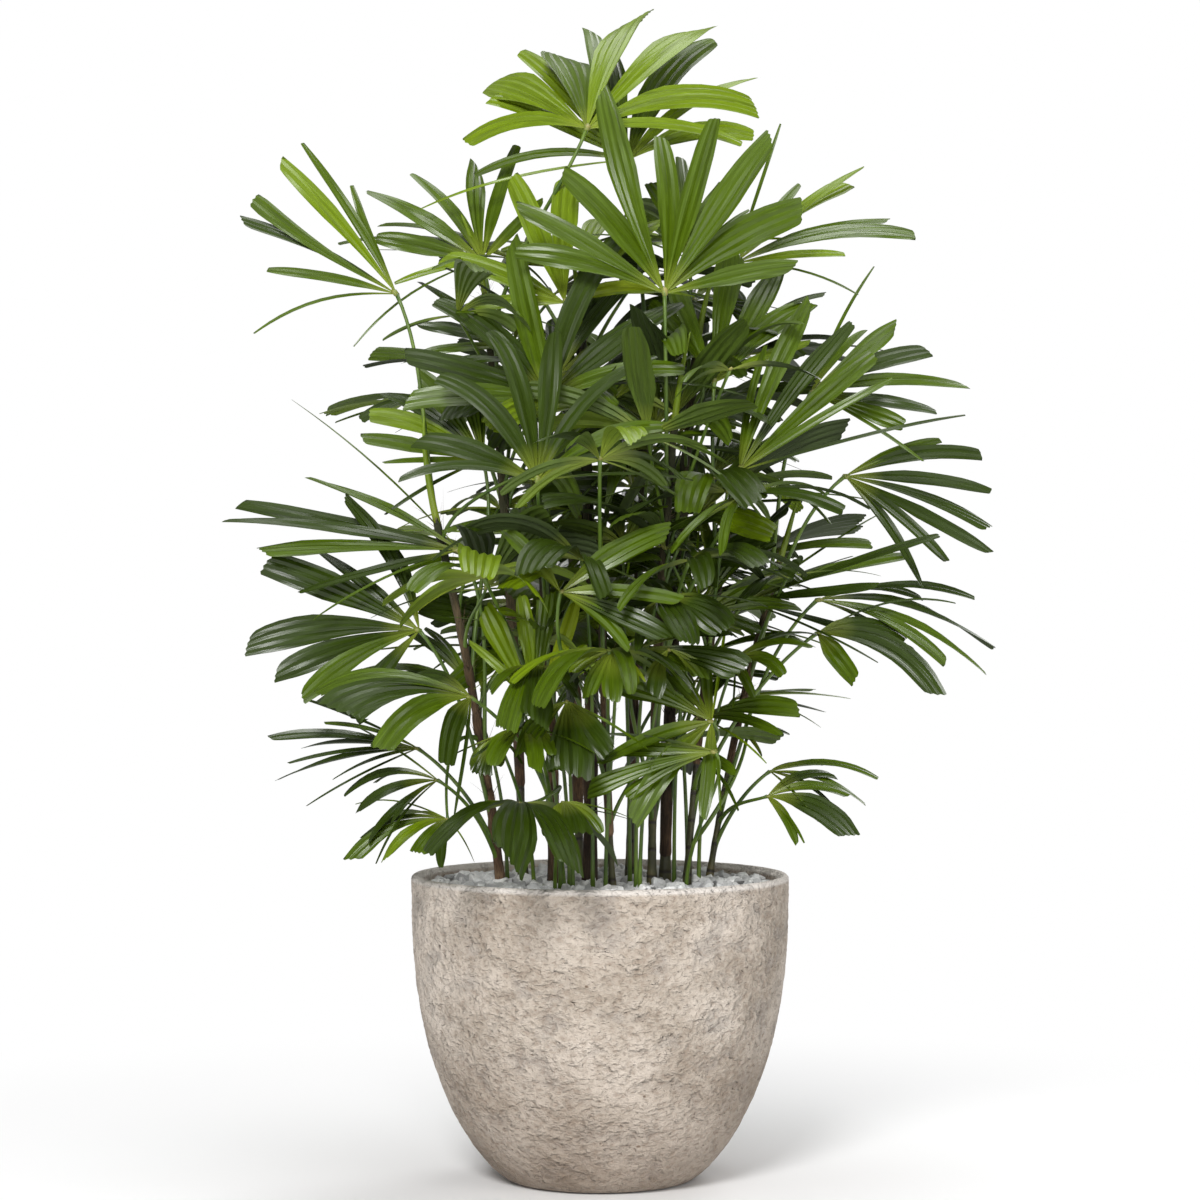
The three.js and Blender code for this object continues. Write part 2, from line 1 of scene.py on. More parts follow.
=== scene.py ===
# %% [markdown]
# # A lady palm in a stone-look planter
#
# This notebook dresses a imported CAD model. The model gives every place and size. Here each
# piece gets the surface that the eye expects: rough fibre clay, loose crushed stone, canes
# wrapped in brown fibre, and fans of pleated leaflets. The CAD pieces stay hidden underneath,
# where the physics uses them.

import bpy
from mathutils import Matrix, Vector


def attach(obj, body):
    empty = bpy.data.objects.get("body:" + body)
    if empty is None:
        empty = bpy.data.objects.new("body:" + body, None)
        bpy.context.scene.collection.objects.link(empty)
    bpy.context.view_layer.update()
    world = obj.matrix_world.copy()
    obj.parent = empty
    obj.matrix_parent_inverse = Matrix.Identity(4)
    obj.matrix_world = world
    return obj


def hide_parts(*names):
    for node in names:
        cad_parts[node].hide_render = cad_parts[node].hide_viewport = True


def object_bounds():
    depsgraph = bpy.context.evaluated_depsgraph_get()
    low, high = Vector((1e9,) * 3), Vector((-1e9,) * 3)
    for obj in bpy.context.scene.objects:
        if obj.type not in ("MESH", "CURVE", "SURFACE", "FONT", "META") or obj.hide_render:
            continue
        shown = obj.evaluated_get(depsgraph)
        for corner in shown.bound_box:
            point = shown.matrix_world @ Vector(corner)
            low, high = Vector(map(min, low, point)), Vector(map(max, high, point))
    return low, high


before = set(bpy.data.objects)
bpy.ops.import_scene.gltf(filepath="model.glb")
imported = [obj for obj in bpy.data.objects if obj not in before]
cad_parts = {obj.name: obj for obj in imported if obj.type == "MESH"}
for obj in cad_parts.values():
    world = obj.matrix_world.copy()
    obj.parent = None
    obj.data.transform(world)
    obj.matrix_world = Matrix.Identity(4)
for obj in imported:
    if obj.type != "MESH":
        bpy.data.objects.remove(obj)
cad_low, cad_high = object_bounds()
print("CAD box:", [round(side, 3) for side in cad_high - cad_low])

# %% [markdown]
# ## Tools
#
# The plant's rules are written in millimetres, as the CAD source has them, and every mesh is
# scaled to metres when it is made. Chance comes from small seeded streams, so each run grows
# the same plant. The stream is the same arithmetic as the CAD source's, in the same order of
# draws, which is why the fine fronds land on the plain ones.

# %% Modules, units and seeded chance
import math

import bmesh
import bpy
import numpy as np
from mathutils import Euler, Vector, kdtree, noise

MM = 0.001
UP = np.array([0.0, 0.0, 1.0])
WORD = 0xFFFFFFFF
# Where the seeds of each kind of piece start.
SEEDS = {"chip": 900, "bed": 77, "sheath": 300, "back": 100, "inner": 500, "inner_leaf": 400}
SEEDS |= {"fan": 660, "shoot": 700, "spear": 820}
# A frond's own seed, times the first and plus the second, starts these two streams.
SIZE_STREAM = (977, 5)
BEND_STREAM = (131, 7)


def random_from(seed):
    """A repeatable stream of numbers from 0 to 1."""
    state = seed & WORD

    def draw():
        nonlocal state
        state = (state + 0x6D2B79F5) & WORD
        t = state
        t = ((t ^ (t >> 15)) * (t | 1)) & WORD
        t ^= (t + (t ^ (t >> 7)) * (t | 61)) & WORD
        return ((t ^ (t >> 14)) & WORD) / (WORD + 1)

    return draw


def unit(vector):
    return vector / np.linalg.norm(vector, axis=-1, keepdims=True)


def blend_between(low, high, share):
    return low + (high - low) * share


def any_way(draw):
    """A direction by chance."""
    return unit(np.array([draw() - 0.5, draw() - 0.5, draw() - 0.5]))


# %% [markdown]
# ## Joining many small things
#
# A palm has hundreds of leaflets and a pot hundreds of stones. Making each one with operators
# would be slow, so an operator makes one **form**, a small flat or straight piece, and arrays
# bend copies of that form into place. A heap collects the copies and becomes one mesh. Closed
# forms keep thin leaves solid, and edges marked sharp keep their rims crisp under smooth shading.

# %% Forms and heaps
class Form:
    """The points, faces and sharp edges of a small bmesh, as arrays."""

    def __init__(self, bm):
        bm.verts.index_update()
        self.points = np.array([vert.co[:] for vert in bm.verts])
        self.faces = [[vert.index for vert in face.verts] for face in bm.faces]
        self.kinds = [face.material_index for face in bm.faces]
        self.sharp = [[vert.index for vert in edge.verts] for edge in bm.edges if not edge.smooth]
        bm.free()


class Heap:
    """Copies of forms on their way to becoming one mesh."""

    def __init__(self):
        self.points, self.marks, self.faces, self.kinds, self.sharp = [], [], [], [], []
        self.count = 0

    def add(self, form, points, across, along):
        """points are in millimetres. across and along mark each of them in the UV map."""
        marks = np.empty((len(points), 2))
        marks[:, 0] = across
        marks[:, 1] = along
        self.points.append(points)
        self.marks.append(marks)
        self.faces += [[corner + self.count for corner in face] for face in form.faces]
        self.kinds += form.kinds
        self.sharp += [[end + self.count for end in edge] for edge in form.sharp]
        self.count += len(points)


def set_out(name, data):
    """Puts a mesh, a lamp or a camera into the scene."""
    made = bpy.data.objects.new(name, data)
    bpy.context.scene.collection.objects.link(made)
    return made


def keep(piece, slot_name, finishes, *nodes):
    """Gives a piece its finishes and its place in the frame."""
    for finish in finishes:
        piece.data.materials.append(finish)
    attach(piece, "root")
    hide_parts(*nodes)
    triangles = sum(len(face.vertices) - 2 for face in piece.data.polygons)
    print(f"{piece.name}: {triangles} triangles")


def piece_of_heap(name, heap, smooth=True):
    mesh = bpy.data.meshes.new(name)
    mesh.from_pydata(np.concatenate(heap.points) * MM, [], heap.faces)
    marks = np.concatenate(heap.marks)
    corners = np.empty(len(mesh.loops), dtype=np.int32)
    mesh.loops.foreach_get("vertex_index", corners)
    layer = mesh.uv_layers.new(name="marks")
    layer.data.foreach_set("uv", marks[corners].astype(np.float32).ravel())
    mesh.polygons.foreach_set("material_index", heap.kinds)
    mesh.polygons.foreach_set("use_smooth", [smooth] * len(mesh.polygons))
    if heap.sharp:
        ends = np.empty(2 * len(mesh.edges), dtype=np.int32)
        mesh.edges.foreach_get("vertices", ends)
        wanted = {tuple(sorted(edge)) for edge in heap.sharp}
        is_sharp = [tuple(sorted(pair)) in wanted for pair in ends.reshape(-1, 2).tolist()]
        mesh.attributes.new("sharp_edge", "BOOLEAN", "EDGE").data.foreach_set("value", is_sharp)
    mesh.update()
    return set_out(name, mesh)


def piece_of_bmesh(name, bm, smooth=True):
    for face in bm.faces:
        face.smooth = smooth
    mesh = bpy.data.meshes.new(name)
    bm.to_mesh(mesh)
    bm.free()
    return set_out(name, mesh)


# %% [markdown]
# ## Finishes
#
# Every finish is a small network of nodes round one Principled shader. A helper adds a node
# and wires its inputs, so that each network reads as a list. Patterns read Object coordinates
# in metres, so a noise scale of 200 gives marks of about 5 mm, or they read the piece's own UV
# map where the pattern follows a leaflet or a cane.

# %% Helpers for finishes
def new_finish(name, **constants):
    """A material whose Principled shader has these constant sockets."""
    finish = bpy.data.materials.new(name)
    finish.use_nodes = True
    shader = finish.node_tree.nodes["Principled BSDF"]
    for socket, value in constants.items():
        shader.inputs[socket.replace("_", " ")].default_value = value
    return finish, shader


def add(finish, kind, inputs=None, **settings):
    """Adds a node. An input is a constant, or another node's output socket."""
    made = finish.node_tree.nodes.new("ShaderNode" + kind)
    for name, value in settings.items():
        setattr(made, name, value)
    for name, value in (inputs or {}).items():
        if isinstance(value, bpy.types.NodeSocket):
            finish.node_tree.links.new(value, made.inputs[name])
        else:
            made.inputs[name].default_value = value
    return made


def wire(finish, output, shader, socket):
    finish.node_tree.links.new(output, shader.inputs[socket])


def ramp(finish, value, *stops):
    """A colour ramp. Each stop is a place from 0 to 1 and a colour or a grey."""
    made = add(finish, "ValToRGB", {"Fac": value})
    elements = made.color_ramp.elements
    while len(elements) < len(stops):
        elements.new(0.5)
    for element, (place, colour) in zip(elements, stops):
        grey = isinstance(colour, (int, float))
        element.position = place
        element.color = (colour, colour, colour, 1) if grey else (*colour, 1)
    return made.outputs["Color"]


def mixed(finish, share, first, second):
    """One colour into another by a share, which may be a pattern."""
    made = add(finish, "Mix", data_type="RGBA")
    for number, value in ((0, share), (6, first), (7, second)):
        if isinstance(value, bpy.types.NodeSocket):
            finish.node_tree.links.new(value, made.inputs[number])
        else:
            made.inputs[number].default_value = (*value, 1) if number else value
    return made.outputs[2]


def layered(finish, colour, *layers):
    """Colours laid over one another: a pattern, two stops of how much shows, and the colour."""
    for pattern, first, second, over in layers:
        colour = mixed(finish, ramp(finish, pattern, first, second), colour, over)
    return colour


def place_on_object(finish, scale=(1, 1, 1), kind="Object"):
    at = add(finish, "TexCoord").outputs[kind]
    return add(finish, "Mapping", {"Vector": at, "Scale": scale}).outputs["Vector"]


def place_on_marks(finish, scale=(1, 1, 1)):
    return place_on_object(finish, scale, "UV")


def axis_of(finish, place, axis):
    return add(finish, "SeparateXYZ", {"Vector": place}).outputs[axis]


def ranged(finish, value, span, reach=(0.0, 1.0), **settings):
    """A value's span laid onto a reach, and held at the reach's ends."""
    inputs = {"Value": value, "From Min": span[0], "From Max": span[1]}
    inputs |= {"To Min": reach[0], "To Max": reach[1]}
    return add(finish, "MapRange", inputs, **settings).outputs["Result"]


def noise_of(finish, at, scale, detail=3.0, roughness=0.55, distortion=0.0):
    inputs = {"Vector": at, "Scale": scale, "Detail": detail, "Roughness": roughness}
    inputs["Distortion"] = distortion
    return add(finish, "TexNoise", inputs).outputs["Fac"]


def raise_by(finish, shader, *reliefs):
    """Stacks bumps: each relief is a pattern and its height in metres."""
    normal = None
    for pattern, height in reliefs:
        inputs = {"Height": pattern, "Distance": height, "Strength": 1.0}
        if normal:
            inputs["Normal"] = normal
        normal = add(finish, "Bump", inputs).outputs["Normal"]
    wire(finish, normal, shader, "Normal")


def mottled(name, roughness, scale, *stops, detail=3.0, stretch=(1, 1, 1)):
    """A finish that drifts from one colour to another in clouds."""
    finish, shader = new_finish(name, Roughness=roughness)
    cloud = noise_of(finish, place_on_object(finish, stretch), scale, detail=detail)
    wire(finish, ramp(finish, cloud, *stops), shader, "Base Color")
    return finish, shader, cloud


# %% [markdown]
# ## The camera, the floor and the light
#
# The plant is seen level, from nearly three times its own height, with a long lens. A long lens
# keeps the canes upright and the pot's rim a thin ellipse. The floor is one pale disc that grows
# white with its distance from the pot, and the sky behind is white too, so that no horizon line
# shows. Five large soft lamps stand in for a studio: the key from the upper left front, a low one
# under it, a fill from the right, a top light that puts a sheen on the leaflets, and one behind.

# %% Camera
CAMERA = {"distance": 3.670, "height": 0.657, "lens": 96.8, "sensor": 36}

lens = bpy.data.cameras.new("camera")
lens.lens = CAMERA["lens"]
lens.sensor_width = CAMERA["sensor"]
camera = set_out("camera", lens)
camera.location = (0, -CAMERA["distance"], CAMERA["height"])
camera.rotation_euler = (math.radians(90), 0, 0)
bpy.context.scene.camera = camera
bpy.context.scene.view_settings.view_transform = "Standard"

# %% Floor
FLOOR = {"grey": 0.88, "near": 0.3, "far": 1.3, "radius": 40}
ROUND = 96  # sides of a plain disc

floor_finish, floor_shader = new_finish("pale_floor", Roughness=0.9)
floor_shader.inputs["Base Color"].default_value = (FLOOR["grey"], FLOOR["grey"], FLOOR["grey"], 1)
floor_out = add(floor_finish, "VectorMath", {0: place_on_object(floor_finish)}, operation="LENGTH")
floor_span = (FLOOR["near"], FLOOR["far"])
floor_fade = ranged(
    floor_finish, floor_out.outputs["Value"], floor_span, interpolation_type="SMOOTHSTEP"
)
floor_white = add(floor_finish, "Emission", {"Strength": 1.0}).outputs[0]
floor_parts = {0: floor_fade, 1: floor_shader.outputs[0], 2: floor_white}
floor_mix = add(floor_finish, "MixShader", floor_parts)
floor_end = floor_finish.node_tree.nodes["Material Output"]
wire(floor_finish, floor_mix.outputs[0], floor_end, "Surface")

floor_bm = bmesh.new()
bmesh.ops.create_circle(floor_bm, cap_ends=True, segments=ROUND, radius=FLOOR["radius"])
floor = piece_of_bmesh("floor", floor_bm, smooth=False)
floor.data.materials.append(floor_finish)

# %% Light
LAMPS = {  # where it stands, its size, its watts, and the height it is turned to
    "key": ((-0.8, -3.5, 2.6), 1.2, 140, 0.7),
    "low": ((-0.3, -3.6, 0.9), 1.2, 24, 0.5),
    "fill": ((2.5, -2.7, 1.3), 2.0, 28, 0.7),
    "top": ((0.2, 0.3, 3.4), 2.0, 44, 0.7),
    "back": ((1.8, 3.0, 2.6), 2.4, 52, 0.7),
}

for name, (at, size, watts, level) in LAMPS.items():
    bulb = bpy.data.lights.new(name, "AREA")
    bulb.shape = "DISK"
    bulb.size = size
    bulb.energy = watts
    lamp = set_out(name, bulb)
    lamp.location = at
    lamp.rotation_euler = (Vector((0, 0, level)) - Vector(at)).to_track_quat("-Z", "Y").to_euler()

SKY = {"light": 0.27, "seen": 1.0}
sky = bpy.data.worlds.new("studio")
sky.use_nodes = True
sky_seen = add(sky, "LightPath").outputs["Is Camera Ray"]
sky_strength = ranged(sky, sky_seen, (0.0, 1.0), (SKY["light"], SKY["seen"]))
sky.node_tree.nodes["Background"].inputs["Color"].default_value = (1.0, 1.0, 1.0, 1)
wire(sky, sky_strength, sky.node_tree.nodes["Background"], "Strength")
bpy.context.scene.world = sky

# %% [markdown]
# ## The planter
#
# The real planter is cast in fibre clay against a rough mould: a plain round form with a skin of
# fine wrinkles and a smooth lip where the casting was rubbed down. The lip's paler cream is
# painted highlight. The form could be a lathed curve with a displacement modifier. Here one
# profile is spun with an operator, because the same formula as the CAD wall gives the profile, and
# the wrinkles that show in the outline are pushed into the mesh point by point. The finer ones are
# bump.

# %% The planter's profile
POT = {"height": 346, "rim": 214.5, "foot": 100, "shoulder": 330, "swell": 2.35, "belly": 0.7}
WALL = 13
LIP = 5
POT_TURNS = 384
POT_ROWS = 118


def pot_radius(z):
    left = 1 - min(z / POT["shoulder"], 1)
    round_out = (1 - left ** POT["swell"]) ** POT["belly"]
    return POT["foot"] + (POT["rim"] - POT["foot"]) * round_out


def pot_profile():
    """Points (radius, height) from the middle of the foot, up the outside and down inside."""
    lip_foot = POT["height"] - LIP
    profile = [(radius, 0.0) for radius in (0, 40, 76)] + [(POT["foot"] - 4, 0.0)]
    for row in range(POT_ROWS + 1):
        z = 2 + (lip_foot - 2) * (row / POT_ROWS) ** 1.25
        profile.append((pot_radius(z), z))
    for step in range(1, 8):
        turn = math.pi * step / 8
        out = POT["rim"] - LIP + LIP * math.cos(turn)
        profile.append((out, lip_foot + LIP * math.sin(turn)))
    for row in range(24, -1, -1):
        z = WALL + (lip_foot - WALL) * (row / 24) ** 1.25
        profile.append((pot_radius(z) - WALL, z))
    return profile + [(0, WALL)]


# %% Spinning the planter
def spun(profile, turns):
    bm = bmesh.new()
    verts = [bm.verts.new((radius * MM, 0, z * MM)) for radius, z in profile]
    edges = [bm.edges.new(pair) for pair in zip(verts, verts[1:])]
    around_z = {"axis": (0, 0, 1), "cent": (0, 0, 0), "angle": math.tau}
    bmesh.ops.spin(bm, geom=verts + edges, steps=turns, use_merge=True, **around_z)
    bmesh.ops.remove_doubles(bm, verts=bm.verts, dist=1e-6)
    bmesh.ops.recalc_face_normals(bm, faces=bm.faces)
    return bm


WRINKLES = [(24, 0.45), (70, 0.55), (150, 0.5)]  # marks a metre, and height in millimetres
WRINKLE_MEAN = 0.64  # taken off again, so that the skin stays about where the CAD has it


def roughen(bm):
    """Pushes the cast skin in and out. The foot and the rubbed lip stay nearly smooth."""
    bm.normal_update()
    for vert in bm.verts:
        radius = math.hypot(vert.co.x, vert.co.y)
        z = vert.co.z / MM
        inside = radius < (pot_radius(z) - WALL / 2) * MM
        if inside or z < 1:
            continue
        calm = min(1, z / 14) * min(1, max(0.12, (POT["height"] - 7 - z) / 16))
        at = vert.co.copy()
        at.z *= 1.5
        push = sum(noise.turbulence(at * marks, 2, False) * height for marks, height in WRINKLES)
        vert.co += vert.normal * (push - WRINKLE_MEAN) * calm * MM


pot_bm = spun(pot_profile(), POT_TURNS)
roughen(pot_bm)

# %% [markdown]
# Cast clay isn't one colour. Pale clouds a hand wide and grey and pale patches a few centimetres
# wide are its own tone. Over them come painted highlight on the raised skin of the wrinkles,
# painted shade in their hollows and in pits, and darker brown painted shade towards the foot: each
# is its own layer, mixed over the one before it.

# %% The planter's finish
clay, clay_shader = new_finish("fibre_clay", Roughness=0.9)
clay_at = place_on_object(clay, (1, 1, 1.4))
clouds = noise_of(clay, clay_at, 8, detail=3)
patches = noise_of(clay, clay_at, 26, detail=4, distortion=0.2)
wrinkled = noise_of(clay, clay_at, 122, detail=3, roughness=0.5)
crumpled = noise_of(clay, clay_at, 230, detail=3, roughness=0.5)
grain = noise_of(clay, clay_at, 620, detail=3, roughness=0.7)
specks = noise_of(clay, clay_at, 75, detail=1)

TAUPE = (0.390, 0.328, 0.266)
PALE_CLAY = (0.62, 0.545, 0.47)
# The brown of painted shade: in the wrinkles' hollows, in pits and at the foot.
SHADE_BROWN = (0.185, 0.126, 0.083)
GREY_CLOUD = (0.29, 0.258, 0.23)
LIP_HIGHLIGHT_CREAM = (0.66, 0.61, 0.56)

CLAY_LAYERS = [
    (clouds, (0.38, 0), (0.62, 1), PALE_CLAY),
    (patches, (0.34, 0.5), (0.48, 0), GREY_CLOUD),
    (patches, (0.54, 0), (0.70, 0.4), PALE_CLAY),
    # Painted shade in the wrinkles' hollows, and painted highlight on their raised skin.
    (wrinkled, (0.30, 0.42), (0.50, 0), SHADE_BROWN),
    (wrinkled, (0.54, 0), (0.70, 0.4), PALE_CLAY),
    # Dark brown specks, painted as the shade in pits.
    (specks, (0.20, 0.85), (0.235, 0), SHADE_BROWN),
]
FOOT_SHADE_TO = 0.19  # metres above the floor at which the painted shade at the foot ends
LIP_FROM, LIP_TO = 0.3385, 0.3415  # where the skin turns to the lip's painted highlight

clay_colour = layered(clay, TAUPE, *CLAY_LAYERS)
clay_height = axis_of(clay, place_on_object(clay), "Z")
# Painted shade: the clay turns darker brown towards the foot.
foot_shade_share = ranged(clay, clay_height, (0.0, FOOT_SHADE_TO), (0.55, 0.0))
clay_colour = mixed(clay, foot_shade_share, clay_colour, SHADE_BROWN)
# Painted highlight: a paler cream band round the lip.
lip_highlight_share = ranged(clay, clay_height, (LIP_FROM, LIP_TO))
clay_colour = mixed(clay, lip_highlight_share, clay_colour, LIP_HIGHLIGHT_CREAM)
wire(clay, clay_colour, clay_shader, "Base Color")
clay_relief = ((patches, 0.019), (wrinkled, 0.0056), (crumpled, 0.0024), (grain, 0.0004))
raise_by(clay, clay_shader, *clay_relief)

keep(piece_of_bmesh("planter_wall", pot_bm), "pot", [clay], "pot")

# %% [markdown]
# ## The potting mix and the crushed stone
#
# The dressing is loose crushed stone: flat-faced chips about 2 cm across, in a light grey that
# varies from chip to chip. A chip is the convex hull of a few points on a ball, with its edges
# bevelled, which gives the flat facets of broken stone. Eight chips are laid several hundred
# times, largest first, each dropped where it has room. Under them lies a dark grit bed, and the
# CAD's potting mix keeps its own solid with an earthy finish.

# %% Potting mix
EARTH = [(0.3, (0.018, 0.011, 0.007)), (0.7, (0.075, 0.05, 0.032))]
earth, earth_shader, crumbs = mottled("potting_mix", 1.0, 160, *EARTH, detail=5)
raise_by(earth, earth_shader, (crumbs, 0.004))
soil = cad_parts["soil"]
soil.data.materials.clear()
soil.data.materials.append(earth)

# %% Chips of stone
BED = {"top": 331, "thick": 12, "reach": 199.5}
CHIP_FORMS = 8
CHIP_POINTS = 13
CHIPS = 520
CHIP_SIZES = (14.5, 8.0)  # of the first chip laid and of the last
CHIP_TRIES = 14
CHIP_SPACING = 0.78  # least distance of two chips, over their two sizes together


def chip_form(seed):
    draw = random_from(seed)
    bm = bmesh.new()
    for _ in range(CHIP_POINTS):
        bm.verts.new(any_way(draw) * (0.82 + 0.18 * draw()))
    bmesh.ops.convex_hull(bm, input=bm.verts)
    loose = [vert for vert in bm.verts if not vert.link_faces]
    bmesh.ops.delete(bm, geom=loose, context="VERTS")
    bmesh.ops.bevel(
        bm, geom=bm.edges[:], offset=0.05, segments=1, affect="EDGES", profile=0.5, material=-1
    )
    bmesh.ops.recalc_face_normals(bm, faces=bm.faces)
    return Form(bm)


chip_forms = [chip_form(SEEDS["chip"] + number) for number in range(CHIP_FORMS)]


# %% Laying the chips
def turned(points, angles):
    return points @ np.array(Euler(angles).to_matrix()).T


def lay_chips(heap):
    draw = random_from(SEEDS["bed"])
    laid = []
    for number in range(CHIPS):
        size = blend_between(*CHIP_SIZES, number / CHIPS) * (0.85 + 0.3 * draw())
        for _ in range(CHIP_TRIES):
            out = (BED["reach"] - size * 0.9) * math.sqrt(draw())
            turn = math.tau * draw()
            x, y = out * math.cos(turn), out * math.sin(turn)
            crowding = sum(
                math.hypot(a - x, b - y) < CHIP_SPACING * (r + size) for a, b, r in laid
            )
            if not crowding:
                break
        laid.append((x, y, size))
        lift = 4.0 * crowding if crowding < 2 else 5.0
        form = chip_forms[int(draw() * CHIP_FORMS)]
        stretch = np.array([1.0, 0.75 + 0.25 * draw(), 0.55 + 0.25 * draw()])
        points = turned(form.points * size * stretch, (draw() - 0.5, draw() - 0.5, 6 * draw()))
        points = points + np.array([x, y, BED["top"] - 0.5 + lift + 2.5 * draw()])
        tone = draw()
        heap.add(form, points, tone, tone)


chips = Heap()
lay_chips(chips)

# %% Finish of the stone
stone, stone_shader = new_finish("crushed_stone", Roughness=0.82)
stone_at = place_on_object(stone)
stone_tone = axis_of(stone, place_on_marks(stone), "X")
stone_colour = ramp(
    stone,
    stone_tone,
    (0.0, (0.42, 0.42, 0.42)),
    (0.35, (0.66, 0.66, 0.65)),
    (0.75, (0.80, 0.80, 0.79)),
    (1.0, (0.88, 0.87, 0.85)),
)
stone_grain = noise_of(stone, stone_at, 260, detail=4)
stone_dirt = (stone_grain, (0.35, 0.3), (0.6, 0), (0.3, 0.3, 0.3))
stone_colour = layered(stone, stone_colour, stone_dirt)
wire(stone, stone_colour, stone_shader, "Base Color")
raise_by(stone, stone_shader, (stone_grain, 0.0008))
keep(piece_of_heap("stone_chips", chips, smooth=False), "pebbles", [stone], "pebble_bed")

# %% The grit under the chips
grit_bm = bmesh.new()
grit_reach = BED["reach"] * MM
grit_sizes = {"radius1": grit_reach, "radius2": grit_reach, "depth": BED["thick"] * MM}
bmesh.ops.create_cone(grit_bm, cap_ends=True, segments=ROUND, **grit_sizes)
grit_level = BED["top"] - 0.75 * BED["thick"]
bmesh.ops.translate(grit_bm, verts=grit_bm.verts, vec=(0, 0, grit_level * MM))
keep(piece_of_bmesh("grit_bed", grit_bm, smooth=False), "pebbles", [earth], "pebble_bed")

# %% [markdown]
# ## The canes
#
# A lady palm grows as a clump of thin canes. Each one is ringed like bamboo where old fronds
# fell, and higher up it is wrapped in the brown fibre of the sheaths that still hold. The CAD
# canes are plain tapering rods along a bowed line. The same line is followed here by a finer
# rod. It could be a curve with a bevel, but a straight rod of rings, bent along the line with
# arrays, lets each ring take its own width, so that the joints swell a little.

# %% Where the canes stand
CANES = [  # foot x, y; tip x, y, z; radius of the foot
    (-112, -12, -188, -22, 760, 7),
    (-88, 38, -132, 52, 1010, 8.5),
    (-52, -42, -72, -84, 815, 9),
    (-12, -8, -22, 14, 960, 11),
    (34, 52, 58, 92, 930, 8),
    (58, -46, 82, -96, 850, 8),
    (74, 8, 112, 28, 955, 9.5),
    (98, -24, 152, -42, 790, 7),
    (124, 22, 206, 34, 700, 6.5),
    (-24, 96, -38, 150, 885, 8.5),
    (14, -92, 2, -150, 640, 6.5),
]
GAP = 0.3
CANE = {"flare": 1.3, "taper": 0.62, "bow": 14}
BARE_ROD = 0.64  # the cane inside its dry sheaths, as a share of the CAD's rod


class Line:
    """A smooth line through space, as a Bezier curve of three or four points."""

    def __init__(self, *controls):
        self.controls = [np.array(point, dtype=float) for point in controls]

    def at(self, share):
        share = np.asarray(share, dtype=float)[..., None]
        points = self.controls
        while len(points) > 1:
            points = [a * (1 - share) + b * share for a, b in zip(points, points[1:])]
        return points[0]

    def length(self):
        return np.linalg.norm(self.at(1.0) - self.at(0.0))

    def along(self, share):
        share = np.asarray(share, dtype=float)
        before, after = np.maximum(0, share - 1e-4), np.minimum(1, share + 1e-4)
        return unit(self.at(after) - self.at(before))


def cane_line(cane):
    foot_x, foot_y, *tip, _ = cane
    start = np.array([foot_x, foot_y, BED["top"] + GAP])
    end = np.array(tip, dtype=float)
    out = unit(np.array([foot_x, foot_y, 0.0])) * CANE["bow"]
    return Line(start, (start + end) / 2 - out, end)


def cane_radius(cane, share):
    flare = 1 + (CANE["flare"] - 1) * np.maximum(0, 1 - np.asarray(share) * 12)
    return BARE_ROD * cane[-1] * (1 - (1 - CANE["taper"]) * share) * flare


# %% A rod that bends
def rod_form(sides, spans, closed=True):
    """A straight rod from z = 0 to 1 and of radius 1, in even rings."""
    bm = bmesh.new()
    bmesh.ops.create_cone(bm, cap_ends=closed, segments=sides, radius1=1, radius2=1, depth=1)
    bmesh.ops.translate(bm, verts=bm.verts, vec=(0, 0, 0.5))
    upright = [edge for edge in bm.edges if abs(edge.verts[0].co.z - edge.verts[1].co.z) > 0.5]
    bmesh.ops.subdivide_edges(bm, edges=upright, cuts=spans - 1, use_grid_fill=False)
    return Form(bm)


def frames_along(line, shares):
    """Two directions across the line at each share, that turn as little as they can."""
    ways = line.along(shares)
    first = unit(np.cross(ways[0], [0.0, 1.0, 0.0]))
    firsts = []
    for way in ways:
        first = unit(first - way * np.dot(first, way))
        firsts.append(first)
    firsts = np.array(firsts)
    return firsts, np.cross(ways, firsts)


def laid_round(middle, radius, angle, firsts, seconds):
    """Points at a radius and an angle round a line's points."""
    around = np.cos(angle)[:, None] * firsts + np.sin(angle)[:, None] * seconds
    return middle + radius[:, None] * around


def lay_rod(heap, form, line, radius_at, across, along, start=0.0, turn=0.0):
    """Bends a rod round a line. radius_at gives its girth. across and along scale its marks."""
    share = form.points[:, 2]
    levels, ring_of = np.unique(np.round(share, 6), return_inverse=True)
    firsts, seconds = frames_along(line, levels)
    angle = np.arctan2(form.points[:, 1], form.points[:, 0]) + turn
    radius = radius_at(share, angle)
    points = laid_round(line.at(share), radius, angle, firsts[ring_of], seconds[ring_of])
    heap.add(form, points, angle * across, share * along + start)


# %% [markdown]
# A ring is a short swelling with a dark scar round it, every three centimetres up the cane. The
# scar's place is written into the UV map, so that the finish can find it: the map's height
# counts rings.

# %% Growing the canes
INTERNODE = 31  # millimetres between rings
CANE_SIDES = 14


def grow_canes(heap):
    for number, cane in enumerate(CANES):
        line = cane_line(cane)
        length = line.length()
        rings = round(length / INTERNODE)
        form = rod_form(CANE_SIDES, rings * 5)

        def radius_at(share, angle):
            phase = share * rings % 1
            swell = 0.55 * np.exp(-((phase - 0.5) / 0.13) ** 2)
            uneven = 0.2 * np.sin(3 * angle + 11 * share + number)
            return cane_radius(cane, share) - 0.4 + swell + uneven

        lay_rod(heap, form, line, radius_at, 1 / math.tau, rings, start=0.5, turn=number)


canes = Heap()
grow_canes(canes)

